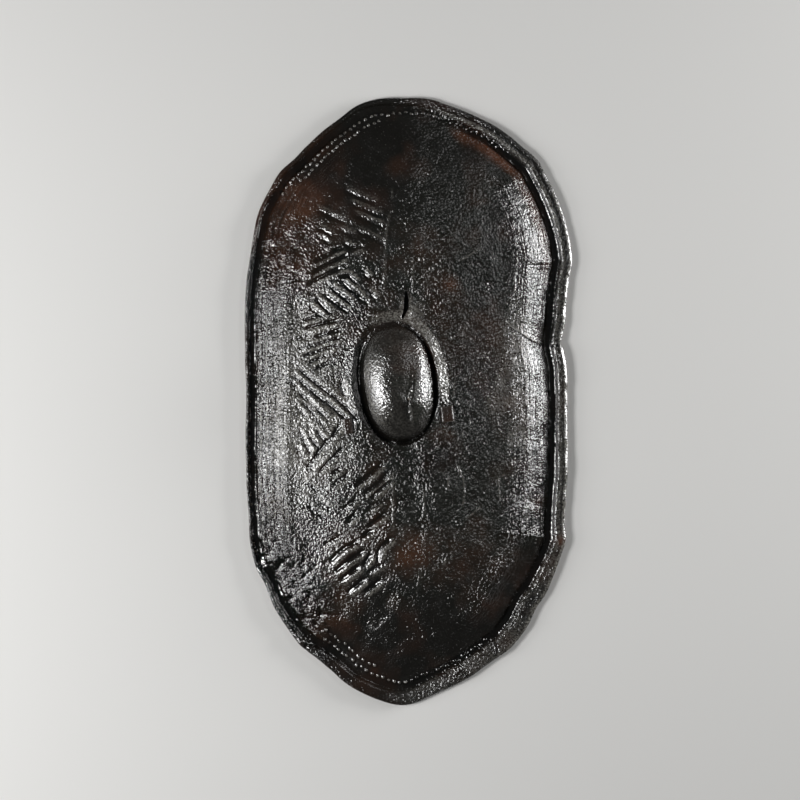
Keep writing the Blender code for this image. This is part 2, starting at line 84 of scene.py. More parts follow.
boss = {
    "length": 0.186,
    "width": 0.113,
    "height": 0.031,
    "fullness": (2.3, 0.72),
    "squareness": 2.3,  # 2 would be an oval
    "lean": math.radians(7.0),
    "centre": (-0.0167, 0.0310),
    "footGap": 0.0005,
    "footDrop": 0.0026,  # from the foot in front down to the hollow's mouth
    "hollowWall": 0.0046,  # from the dome to the hand hollow inside it
    "hollowRoof": (0.0048, 0.0022, 0.0050),  # thickness over the hollow's foot, its loss inwards, over the middle
    # on the left and on the right
    "moatWidth": (0.0140, 0.0052),
    "moatDepth": (0.0090, 0.0050),
    "collarWidth": (0.0190, 0.0215),
    "collarHeight": (0.0042, 0.0074),
    "collarCrest": 0.20,  # share of the collar's width
    "collarArch": (-0.78, -0.45),  # sines of the angles where it rises at both sides of the foot
    "top": (0.50, 0.92),  # sines of the angles between which the boss's top begins
    "shallowTop": 0.75,  # what the moat loses of its depth there
}
collarEnd = boss["moatWidth"][0] + boss["collarWidth"][0]

# Places read off the photograph, in its pixels: 1.643 mm each, with the shield's middle at 408.2, 401.75
photo = {"pixel": 0.001643, "middle": (408.2, 401.75)}

# Strokes pressed into the left half: the lit edge of each, in families with one depth
pressedLines = (
    (0.45, (  # faint, near the top
        ((345, 190), (377, 204)), ((317, 209), (345, 222)), ((354, 215), (384, 227)), ((340, 229), (355, 236)),
        ((359, 231), (386, 245)), ((319, 236), (331, 242)), ((350, 203), (381, 216)),
    )),
    (0.8, (  # upper fan
        ((308, 287), (320, 280), (341, 271)), ((313, 276), (327, 267), (347, 258)), ((315, 264), (345, 250)),
        ((332, 253), (341, 251)), ((353, 251), (364, 249)),
    )),
    (1.15, (  # steep, below the fan
        ((340, 276), (350, 275), (357, 283)), ((343, 280), (356, 293), (363, 300)),
        ((333, 287), (341, 293), (353, 303)), ((325, 293), (338, 303), (349, 311)),
        ((317, 297), (324, 305), (332, 313)), ((311, 306), (323, 315)), ((363, 270), (370, 279)),
        ((369, 291), (378, 299)),
    )),
    (1.0, (  # nearly level, left of the boss's top
        ((303, 323), (320, 318)), ((305, 330), (323, 326), (338, 323)), ((314, 340), (342, 332)),
        ((308, 349), (342, 339)), ((305, 358), (338, 346)), ((309, 365), (328, 356)), ((316, 371), (331, 363)),
    )),
    (1.0, (  # long falling ones
        ((301, 368), (316, 381), (333, 393), (347, 405), (360, 418)),
        ((293, 374), (306, 383), (320, 395), (333, 405), (350, 420)),
        ((301, 391), (313, 403), (327, 415)), ((303, 400), (316, 413)), ((343, 380), (346, 395)),
    )),
    (0.95, (  # crossing, lower left
        ((334, 436), (342, 424)), ((308, 469), (345, 426)), ((315, 458), (330, 439)), ((311, 472), (331, 449)),
        ((321, 472), (345, 448)), ((301, 429), (313, 454)), ((310, 434), (320, 446)), ((318, 428), (326, 439)),
        ((333, 475), (344, 469)),
    )),
    (0.95, (  # rising, below the boss
        ((355, 487), (367, 479), (383, 464)), ((365, 495), (378, 485), (390, 473)),
        ((372, 500), (378, 493), (391, 481)),
    )),
    (1.25, (  # deep, at the foot
        ((349, 522), (358, 514)), ((369, 527), (387, 513)), ((362, 538), (374, 530)),
        ((331, 563), (345, 549), (358, 542)), ((337, 572), (351, 560), (365, 551)), ((342, 581), (360, 566)),
        ((349, 593), (366, 579)), ((366, 592), (382, 580)), ((365, 565), (373, 554)),
        ((380, 561), (381, 548), (393, 538)),
    )),
    (0.55, (  # faint ones between the others
        ((320, 228), (334, 236)), ((344, 243), (357, 250)), ((310, 298), (318, 293)), ((354, 288), (368, 303)),
        ((297, 341), (309, 337)), ((298, 352), (306, 349)), ((318, 375), (339, 364)), ((284, 372), (298, 386)),
        ((297, 403), (309, 416)), ((316, 415), (330, 432)), ((327, 397), (339, 409)), ((296, 443), (305, 460)),
        ((338, 460), (354, 448)), ((334, 487), (350, 474)), ((305, 480), (320, 489)), ((345, 510), (359, 498)),
        ((368, 511), (381, 501)), ((324, 547), (343, 536)), ((309, 504), (326, 516)), ((369, 573), (388, 561)),
        ((352, 575), (362, 567)), ((318, 500), (333, 509)),
    )),
)

# Narrow raised lines: the two spine lines, and what stands up on the right half
raisedLines = (
    (0.8, (
        ((392, 189), (392, 201)), ((390, 212), (386, 237), (385, 269), (384, 295)), ((412, 259), (413, 291)),
        ((393, 471), (393, 530)), ((390, 573), (385, 589)), ((423, 489), (424, 515)), ((424, 535), (423, 552)),
        ((420, 571), (416, 591)),
    )),
    (1.1, (
        ((457, 464), (463, 481), (464, 490), (462, 505)), ((448, 475), (447, 489)), ((481, 505), (465, 518)),
        ((497, 478), (499, 501)), ((446, 557), (442, 566)), ((460, 262), (479, 249)), ((454, 378), (452, 400)),
    )),
)

# The crease from the notch, then fine scratches
creaseLines = (
    (1.0, (((559, 345), (547, 346), (535, 344), (522, 336), (509, 328)),)),
    (0.5, (
        ((280, 284), (309, 280)), ((312, 519), (325, 526), (343, 536)), ((384, 437), (396, 443)),
        ((379, 441), (388, 447)), ((524, 266), (547, 265)),
    )),
)

# Profiles across a line: places off it, positive to the right, with the height at each in metres; how dark
# (painted shade) or light (painted highlight) each is painted; and the rows of points that carry them
pressed = {
    "places": (-0.0088, -0.0036, 0.0044, 0.0100),
    "heights": (0.0, -0.00150, 0.00095, 0.0),
    "hollows": (0.0, 0.85, -0.65, 0.0),
    "rows": (-0.0086, -0.0066, -0.0048, -0.0034, -0.0014, 0.0010, 0.0032, 0.0050, 0.0072),
}
raised = {
    "places": (-0.0034, 0.0, 0.0034),
    "heights": (0.0, 0.00085, 0.0),
    "hollows": (0.0, -0.22, 0.0),
    "rows": (-0.0040, -0.0022, -0.0009, 0.0, 0.0009, 0.0022, 0.0040),
}
crease = {
    "places": (-0.0022, 0.0, 0.0028, 0.0052),
    "heights": (0.0, -0.0009, 0.0004, 0.0),
    "hollows": (0.0, 0.9, -0.3, 0.0),
    "rows": (-0.0030, -0.0013, -0.0003, 0.0008, 0.0018, 0.0030, 0.0048),
}

# What all lines share: how far their profile is looked for, how far they wander, how uneven their depth is, and
# where they fade out, counted from their ends
strokes = {"reach": 0.012, "wander": 0.0004, "uneven": 0.20, "fade": (-0.004, 0.006)}

# The tooled dots. Each row: turns clockwise from the top where it starts and ends, its distance from the edge at
# both, and the share of the full height
dots = {
    "radius": 0.0033,
    "height": 0.0022,
    "pitch": 0.0094,
    "stray": 0.0010,
    "shoulder": 0.62,
    "clear": 1.35,  # how far other points keep off, in radii
    "rows": (
        (-0.100, -0.008, 0.0230, 0.0265, 1.0), (-0.084, -0.014, 0.0335, 0.0375, 1.0),
        (-0.004, 0.072, 0.0245, 0.0240, 0.7), (0.507, 0.572, 0.0375, 0.0335, 1.0),
        (0.530, 0.573, 0.0495, 0.0455, 0.9), (0.440, 0.503, 0.0330, 0.0370, 0.45),
    ),
}

tear = {
    "points": ((405.4, 291), (406.2, 301), (405.6, 310), (401.6, 320)),
    "step": 0.0028,
    "width": 0.0074,
    "lip": 0.0016,
    "lipPlace": 0.0062,
    "lipWidth": (0.0042, 0.0040),  # of its height and of its rub
    "lipStart": (0.004, 0.020),
    "middle": (-0.006, 0.158),
    "reach": 0.045,
}
notch = {"y": 0.0965, "depth": 0.0058, "reach": 0.0085}

# The finer front. Bells stand on the plan: amount, middle and spread across, middle and spread along. Bands run
# round the rim: turns where it starts and ends, fade, amount, and middle and spread of its distance from the edge.
front = {
    "lumps": ((0.036, 0.0011, 51, 3), (0.011, 0.00030, 61, 2)),  # size, height, seed and layers
    "dents": (
        (-0.0010, -0.0185, 0.0160, -0.0055, 0.0160), (-0.0006, -0.0050, 0.0120, -0.0240, 0.0120),
        (-0.0009, -0.0260, 0.0200, 0.0420, 0.0200), (-0.0006, 0.0060, 0.0160, 0.0300, 0.0160),
        (0.0022, -0.1765, 0.0050, -0.3965, 0.0050),
    ),
    "bandHeights": (
        (0.035, 0.175, 0.02, 0.0010, 0.0165, 0.0042), (0.035, 0.175, 0.02, -0.0007, 0.0100, 0.0020),
        (0.175, 0.340, 0.02, 0.0002, 0.0130, 0.0040),
    ),
    # the bands' painted shade where positive and painted highlights where negative
    "bandHollows": (
        (0.035, 0.175, 0.02, 0.6, 0.0100, 0.0018), (0.035, 0.175, 0.02, -0.5, 0.0160, 0.0045),
        (0.175, 0.340, 0.02, -0.35, 0.0128, 0.0035), (0.175, 0.340, 0.02, -0.6, 0.0020, 0.0028),
        (0.130, 0.400, 0.03, -0.55, 0.0028, 0.0032),
    ),
    # lines along the strip: turns and fade; depth, painted shade and painted highlight beside, each with its spread;
    # and for each line its distance from the groove and its strength
    "stripLines": (
        ((0.155, 0.345, 0.015), (0.0007, 0.0014), (0.8, 0.0012), (0.0, 0.0018),
         ((0.0085, 0.8), (0.0150, 0.9), (0.0290, 1.0), (0.0380, 0.5))),
        ((0.640, 0.880, 0.030), (0.0006, 0.0016), (0.9, 0.0014), (0.5, 0.0018),
         ((0.0080, 0.6), (0.0185, 1.0), (0.0270, 0.6), (0.0360, 0.5))),
    ),
    "lightBeside": 0.0040,
    # arcs of the rim: turns clockwise from the top where each starts and ends, and its fade
    "arcs": {
        "rightTrench": (0.055, 0.505, 0.02), "leftTrench": (0.585, 0.925, 0.02),
        "roughLeft": (0.585, 0.685, 0.02), "lowRight": (0.36, 0.47, 0.02), "paintedGlintFoot": (0.35, 0.50, 0.03),
        "warmStrip": (0.055, 0.170, 0.03), "leftLines": (0.600, 0.935, 0.03), "rightLines": (0.080, 0.420, 0.03),
        "headDots": (0.895, 1.000, 0.01), "footDots": (0.505, 0.590, 0.01),
    },
    # how strongly each place is painted lighter, as painted highlights
    "paintedGlint": {"collar": 0.60, "bossLeft": 0.28, "left": 0.80, "right": 0.50, "boss": 0.12, "footBorder": 0.22},
    # painted highlights where negative, painted shade where positive
    "paintedLight": (
        (-0.50, 0.013, 0.012, 0.149, 0.012), (-0.45, -0.160, 0.042, 0.112, 0.055),
        (0.40, -0.238, 0.050, -0.285, 0.048), (0.30, -0.222, 0.050, 0.262, 0.055),
        (0.55, 0.178, 0.022, 0.300, 0.028),
    ),
    "warm": (
        (0.55, -0.185, 0.075, 0.315, 0.120), (0.5, 0.005, 0.050, -0.245, 0.035),
        (0.5, -0.110, 0.030, -0.375, 0.022), (0.8, 0.067, 0.012, 0.192, 0.012),
        (0.8, 0.252, 0.008, -0.227, 0.008),
    ),
    "rough": ((0.5, 0.100, 0.070, 0.015, 0.110),),
}

grid = {
    "around": 640,
    "bossAround": 240,
    # rings of the front: shares of the border's width, places across the groove, steps of the strip
    "borderRings": (0.0, 0.07, 0.15, 0.24, 0.34, 0.46, 0.58, 0.69, 0.78, 0.87, 0.94),
    "grooveRings": (-0.00625, -0.0060, -0.0036, 0.0, 0.0034, 0.0047, 0.0049, 0.0058, 0.0062),
    "stripRings": 17,
    "fieldSpacing": 0.0029,
    "domeRings": 24,
    "hollowRings": 13,
    "edgeRings": 7,
    "backAround": 160,
    "backSpacing": 0.010,
    "smallest": (0.0007, 0.0010),  # points of the front, of the back closer together than this become one
    "lineStep": 0.006,
    "rowStep": 0.0034,
    # how far rings, field points and later rows keep off a line, and how far front and back keep off a slit
    "offLine": (0.0060, 0.0078, 0.0050),
    "offSlit": (0.0013, 0.0022),
    "pastEnd": 0.0015,  # how far a line's surroundings go on past its ends
    "stray": 0.0004,
    "collarRings": (0.0013, 0.0085, 0.0100, 0.0021),  # close step and its end, start of the wide step and that
    "fieldMargins": (0.0012, 0.0008),  # from the strip's top and from the collar
    "rowsOffBoss": 0.004,
    "backStep": 0.004,  # between the back's collar rings, and from them to its field
    "backInset": 0.0024,
    "offBackEdge": 0.0012,
}

# hollow carries painted shade where positive and painted highlights where negative
maskNames = ("hollow", "warm", "rough", "lined", "calm", "inside", "rimAcross", "rimRound")


def ramp(value, start, end):
    # 0 up to start, 1 from end on, straight in between; the other way round where start is the larger
    return np.clip((value - start) / (end - start), 0.0, 1.0)


def smooth(share):
    # Eases a share between 0 and 1: three squares less two cubes
    return share * share * (3.0 - 2.0 * share)


def rise(value, start, end):
    # The ramp with eased ends
    return smooth(ramp(value, start, end))


def fall(value, start, end):
    # 1 up to start, 0 from end on, with eased ends
    return 1.0 - smooth(ramp(value, start, end))


def roundedRamp(value, start, end, rounding=0.06):
    # The same ramp with both corners rounded off: the difference of two soft corners
    share = (value - start) / (end - start)
    return rounding * (np.logaddexp(0.0, share / rounding) - np.logaddexp(0.0, (share - 1.0) / rounding))


def bump(value, middle, spread):
    # Bell curve, 1 in the middle
    return np.exp(-(((value - middle) / spread) ** 2))


def bells(x, y, rows):
    # Sum of bells on the plan, each the product of a bell across and one along
    return sum(amount * bump(x, across, wide) * bump(y, along, long) for amount, across, wide, along, long in rows)


def throughKnots(value, places, heights):
    # A height at each place, joined by smooth steps; the first and the last hold on outside
    index = np.clip(np.searchsorted(places, value) - 1, 0, len(places) - 2)
    places = np.array(places)
    heights = np.array(heights)
    share = rise(value, places[index], places[index + 1])
    return heights[index] * (1 - share) + heights[index + 1] * share


def latticeNoise(x, y, size, seed):
    # Random heights on a square lattice, smoothly blended between its corners, from -1 to 1
    cells = 97
    table = np.random.default_rng(seed).uniform(-1.0, 1.0, (cells, cells))
    column = np.floor(x / size).astype(int)
    row = np.floor(y / size).astype(int)
    right = smooth(x / size - column)
    up = smooth(y / size - row)
    here, beside, below, above = column % cells, (column + 1) % cells, row % cells, (row + 1) % cells
    low = table[here, below] * (1 - right) + table[beside, below] * right
    high = table[here, above] * (1 - right) + table[beside, above] * right
    return low * (1 - up) + high * up


def layeredNoise(x, y, size, seed, layers=3):
    # Each layer has half the size and about half the height of the one before it
    return sum(latticeNoise(x, y, size / 2**layer, seed + layer) * 0.55**layer for layer in range(layers))


def lumps(x, y, rows):
    # Sum of layered noises
    return sum(height * layeredNoise(x, y, size, seed, layers) for size, height, seed, layers in rows)


def unit(vectors):
    # Each row scaled to a length of 1
    return vectors / np.linalg.norm(vectors, axis=1)[:, None]


def alongPath(points):
    # Distance travelled at each point of a bent line
    return np.concatenate([[0.0], np.cumsum(np.linalg.norm(np.diff(points, axis=0), axis=1))])


def readPath(points, travelled, wanted):
    # Points of a bent line at the wanted distances
    return np.column_stack([np.interp(wanted, travelled, points[:, axis]) for axis in (0, 1)])


def toTheRight(line):
    # Unit vectors square to a bent line's course, to its right
    along = unit(np.gradient(line, axis=0))
    return np.column_stack([along[:, 1], -along[:, 0]])


def facingRight(line):
    # 1 where right of the line's course is the side that faces right, else -1
    return 1.0 if (line[-1] - line[0])[1] >= 0.0 else -1.0


def inBox(points, around, reach):
    # Numbers of the points in the box round the given ones, widened by reach
    low = around.min(axis=0) - reach
    high = around.max(axis=0) + reach
    return np.flatnonzero(np.all((points > low) & (points < high), axis=1))


def fromPhoto(points):
    # Photograph pixels become metres from the shield's middle
    points = np.array(points, float)
    across = (points[:, 0] - photo["middle"][0]) * photo["pixel"]
    along = (photo["middle"][1] - points[:, 1]) * photo["pixel"]
    return np.column_stack([across, along])


def smoothClosedCurve(points, steps):
    # Centripetal Catmull-Rom curve through the points
    before = np.roll(points, 1, axis=0)
    after = np.roll(points, -1, axis=0)
    beyond = np.roll(points, -2, axis=0)
    first = np.linalg.norm(points - before, axis=1)[:, None] ** 0.5
    middle = np.linalg.norm(after - points, axis=1)[:, None] ** 0.5
    last = np.linalg.norm(beyond - after, axis=1)[:, None] ** 0.5
    leave = (after - points) + middle * ((points - before) / first - (after - before) / (first + middle))
    reach = (after - points) + middle * ((beyond - after) / last - (beyond - points) / (middle + last))
    t = np.linspace(0.0, 1.0, steps, endpoint=False)[None, :, None]
    curve = (2 * t**3 - 3 * t**2 + 1) * points[:, None] + (t**3 - 2 * t**2 + t) * leave[:, None]
    curve = curve + (3 * t**2 - 2 * t**3) * after[:, None] + (t**3 - t**2) * reach[:, None]
    return curve.reshape(-1, 2)


def evenPoints(curve, turns):
    # Points of a closed curve at the given turns, one turn being its whole length
    closed = np.vstack([curve, curve[:1]])
    travelled = alongPath(closed)
    return readPath(closed, travelled, np.mod(turns, 1.0) * travelled[-1])


def openCurve(points, spacing):
    # A bent line through the points, cut into even steps of about the given length and eased once
    travelled = alongPath(points)
    count = max(3, int(round(travelled[-1] / spacing)) + 1)
    line = readPath(points, travelled, np.linspace(0.0, travelled[-1], count))
    line[1:-1] = (line[:-2] + 2 * line[1:-1] + line[2:]) / 4
    return line


def roundTheShield(name, x, y):
    # The shield's values of that name at even steps from the right side on, smoothly blended between
    angle = np.arctan2(y / shield["halfLength"], x / shield["halfWidth"])
    ring = np.array(shield[name])
    share = np.mod(angle / (2 * math.pi), 1.0) * len(ring)
    index = np.floor(share).astype(int)
    blend = smooth(share - index)
    return ring[index % len(ring)] * (1 - blend) + ring[(index + 1) % len(ring)] * blend


def clockwise(x, y):
    # Turns clockwise from the top, 0.25 at the right side
    return np.mod(np.arctan2(x / shield["halfWidth"], y / shield["halfLength"]) / (2 * math.pi), 1.0)


def between(turn, start, end, fade=0.02):
    # 1 on the arc from start to end, fading out at both ends; an arc over the top starts below 0
    width = end - start
    inside = np.mod(turn - start + 0.5 - width / 2, 1.0) - 0.5 + width / 2
    return rise(inside, -fade, fade) * rise(width - inside, -fade, fade)


def bands(turn, distance, rows):
    # Sum of bands round the rim, each an arc times a bell across it
    return sum(between(turn, first, last, fade) * amount * bump(distance, middle, spread)
               for first, last, fade, amount, middle, spread in rows)


def distanceToEdge(x, y):
    # Shortest distance from each point to the outline's short straight pieces, in portions to save memory
    start = outline[None, :, :]
    along = np.roll(outline, -1, axis=0)[None, :, :] - start
    squared = (along * along).sum(axis=2)
    points = np.column_stack([np.ravel(x), np.ravel(y)])
    found = []
    for portion in np.array_split(points, max(1, len(points) // 3000)):
        offset = portion[:, None, :] - start
        share = np.clip((offset * along).sum(axis=2) / squared, 0.0, 1.0)
        found.append(np.linalg.norm(offset - along * share[:, :, None], axis=2).min(axis=1))
    return np.concatenate(found).reshape(np.shape(x))


def bossAxes(x, y):
    # Places across and along the leaning boss: the plan turned back by its lean about its centre
    dx = x - boss["centre"][0]
    dy = y - boss["centre"][1]
    across = dx * math.cos(boss["lean"]) + dy * math.sin(boss["lean"])
    along = dy * math.cos(boss["lean"]) - dx * math.sin(boss["lean"])
    return across, along


def fromBossAxes(across, along):
    # The way back to the plan
    x = boss["centre"][0] + across * math.cos(boss["lean"]) - along * math.sin(boss["lean"])
    y = boss["centre"][1] + across * math.sin(boss["lean"]) + along * math.cos(boss["lean"])
    return x, y


def pastBoss(across, along):
    # Distance outside the boss's foot, negative inside, and the share of the way out from its middle
    power = boss["squareness"]
    radius = np.abs(across / (boss["width"] / 2)) ** power + np.abs(along / (boss["length"] / 2)) ** power
    radius = radius ** (1 / power)
    reach = np.where(radius < 1e-3, boss["width"] / 2, np.hypot(across, along) / np.maximum(radius, 1e-3))
    return (radius - 1.0) * reach, radius


def bossRing(turns, past, share):
    # A ring round the boss, clockwise from its top: its squarish oval times the share, moved out by past
    turn = math.pi / 2 - 2 * math.pi * turns
    across = np.sign(np.cos(turn)) * np.abs(np.cos(turn)) ** (2 / boss["squareness"])
    along = np.sign(np.sin(turn)) * np.abs(np.sin(turn)) ** (2 / boss["squareness"])
    across = boss["width"] / 2 * share * across + past * np.cos(turn)
    along = boss["length"] / 2 * share * along + past * np.sin(turn)
    return np.column_stack(fromBossAxes(across, along))


def ringInsideEdge(turns, distance):
    # Points a given distance inside the edge, on straight lines from the edge to the boss's foot
    edge = evenPoints(outline, turns)
    towards = unit(bossRing(turns, 0.0, 1.0) - edge)
    reach = np.array(distance)
    for _ in range(5):
        places = edge + towards * reach[:, None]
        reach = reach + distance - distanceToEdge(places[:, 0], places[:, 1])
    return edge + towards * reach[:, None]


def insideLoop(points, loop):
    # True inside: a line to the right crosses the loop an odd number of times
    start = loop[None]
    end = np.roll(loop, -1, axis=0)[None]
    y = points[:, 1][:, None]
    spans = (start[..., 1] > y) != (end[..., 1] > y)
    height = np.where(end[..., 1] == start[..., 1], 1.0, end[..., 1] - start[..., 1])
    cross = start[..., 0] + (y - start[..., 1]) / height * (end[..., 0] - start[..., 0])
    return (np.count_nonzero(spans & (cross > points[:, 0][:, None]), axis=1) % 2).astype(bool)


def makeCrown():
    # The crown's height on a square lattice, blurred so that it has no crease where the two sides meet
    cell = 0.005
    columns = np.arange(-0.32, 0.3201, cell)
    rows = np.arange(-0.55, 0.5501, cell)
    x, y = np.meshgrid(columns, rows)
    inside = insideLoop(np.column_stack([x.ravel(), y.ravel()]), outline).reshape(x.shape)
    stripTop = roundTheShield("grooveDistance", x, y) + shield["grooveWidth"] / 2 + roundTheShield("stripWidth", x, y)
    crown = 1.0 - (1.0 - ramp(distanceToEdge(x, y) * inside, stripTop, shield["crownReach"])) ** 2
    crown = (shield["fieldRise"] - roundTheShield("stripRise", x, y)) * crown
    weights = bump(np.arange(-14, 15) * cell, 0.0, shield["crownBlur"])
    for axis in (0, 1):
        crown = np.apply_along_axis(np.convolve, axis, crown, weights / weights.sum(), "same")
    return columns, rows, crown


def cubicWeights(t):
    # Weights of four neighbouring lattice points, from the cubic B-spline
    return (1 - t) ** 3 / 6, (3 * t**3 - 6 * t**2 + 4) / 6, (-3 * t**3 + 3 * t**2 + 3 * t + 1) / 6, t**3 / 6


def crownHeight(x, y):
    # Reads the lattice with a cubic blend along each axis
    columns, rows, crown = crownLattice
    u = (x - columns[0]) / (columns[1] - columns[0])
    v = (y - rows[0]) / (columns[1] - columns[0])
    column = np.clip(np.floor(u).astype(int), 1, len(columns) - 3)
    row = np.clip(np.floor(v).astype(int), 1, len(rows) - 3)
    total = 0.0
    for down, first in enumerate(cubicWeights(v - row)):
        for side, second in enumerate(cubicWeights(u - column)):
            total = total + first * second * crown[row + down - 1, column + side - 1]
    return total


def baseHeight(x, y, distance):
    # Border down to the groove, up the strip, then a crown that flattens towards the middle; boss and collar
    groove = roundTheShield("grooveDistance", x, y)
    borderRise = roundTheShield("borderRise", x, y)
    half = shield["grooveWidth"] / 2
    stripFoot = groove + half
    stripTop = stripFoot + roundTheShield("stripWidth", x, y)
    place = distance / (groove - half)
    wallWidth = np.minimum(shield["wallWidth"], 0.30 * (groove - half))
    wall = ramp(distance, groove - half - wallWidth, groove - half)
    height = borderRise * (1.0 - 0.1 * rise(place, 0.25, 0.80) - 0.9 * wall)
    height = height - shield["wallFoot"] * wall * (1.0 - ramp(distance - groove, half - 0.0014, half - 0.0004))
    edgeDrop = borderRise * (1.0 - shield["edgeShare"]) + shield["lipDrop"]
    height = height - edgeDrop * (1.0 - ramp(distance, 0.0, shield["lipWidth"])) ** 1.5
    height = height + roundTheShield("stripRise", x, y) * roundedRamp(distance, stripFoot, stripTop, 0.07)
    height = height + crownHeight(x, y)

    across, along = bossAxes(x, y)
    past, radius = pastBoss(across, along)
    inside = np.clip(radius, 0.0, 1.0)
    height = height + boss["height"] * (1.0 - inside ** boss["fullness"][0]) ** boss["fullness"][1]
    turn = np.arctan2(along, across)
    right = smooth((np.cos(turn) + 1.0) / 2)
    moatWidth, moatDepth, collarWidth, collarHeight = (
        boss[name][0] * (1.0 - right) + boss[name][1] * right
        for name in ("moatWidth", "moatDepth", "collarWidth", "collarHeight")
    )
    moatDepth = moatDepth * (1.0 - boss["shallowTop"] * rise(np.sin(turn), *boss["top"]))
    height = height - moatDepth * smooth(1.0 - np.abs(ramp(past, 0.0, moatWidth) * 2.0 - 1.0))
    arch = rise(np.sin(turn), *boss["collarArch"])
    share = ramp(past, moatWidth, moatWidth + collarWidth)
    crest = rise(share, 0.0, boss["collarCrest"]) * ramp(share, 1.0, boss["collarCrest"] * 0.8)
    return height + collarHeight * arch * crest


def placesOffLine(line, points):
    # For each point: the signed distance from the line, positive on the side that faces right, and the
    # distance travelled along it, past its ends too
    start = line[:-1][None]
    along = (line[1:] - line[:-1])[None]
    length = np.linalg.norm(along, axis=2)
    offset = points[:, None] - start
    share = (offset * along).sum(axis=2) / length**2
    gap = np.linalg.norm(offset - along * np.clip(share, 0.0, 1.0)[:, :, None], axis=2)
    nearest = gap.argmin(axis=1)
    rows = np.arange(len(points))
    share = share[rows, nearest]
    low = np.where(nearest == 0, -np.inf, 0.0)
    high = np.where(nearest == len(line) - 2, np.inf, 1.0)
    before = np.concatenate([[0.0], np.cumsum(length[0])])
    travelled = before[nearest] + np.clip(share, low, high) * length[0][nearest]
    side = (offset[..., 0] * along[..., 1] - offset[..., 1] * along[..., 0]) / length
    return side[rows, nearest] * facingRight(line), travelled, before[-1]


def addLines(height, hollow, plan, families, profile):
    # Adds the profile along each line, fading out over the last millimetres at its ends
    for depth, lines in families:
        for points in lines:
            line = openCurve(fromPhoto(points), grid["lineStep"])
            near = inBox(plan, line, strokes["reach"])
            if len(near) == 0:
                continue
            side, travelled, length = placesOffLine(line, plan[near])
            side = side + strokes["wander"] * latticeNoise(*plan[near].T, 0.018, 31)
            fade = rise(travelled, *strokes["fade"]) * rise(length - travelled, *strokes["fade"])
            uneven = depth * fade * (1.0 + strokes["uneven"] * latticeNoise(*plan[near].T, 0.014, 37))
            height[near] += uneven * throughKnots(side, profile["places"], profile["heights"])
            # Painted shade and painted highlights across the line, by the profile
            hollow[near] += uneven * throughKnots(side, profile["places"], profile["hollows"])


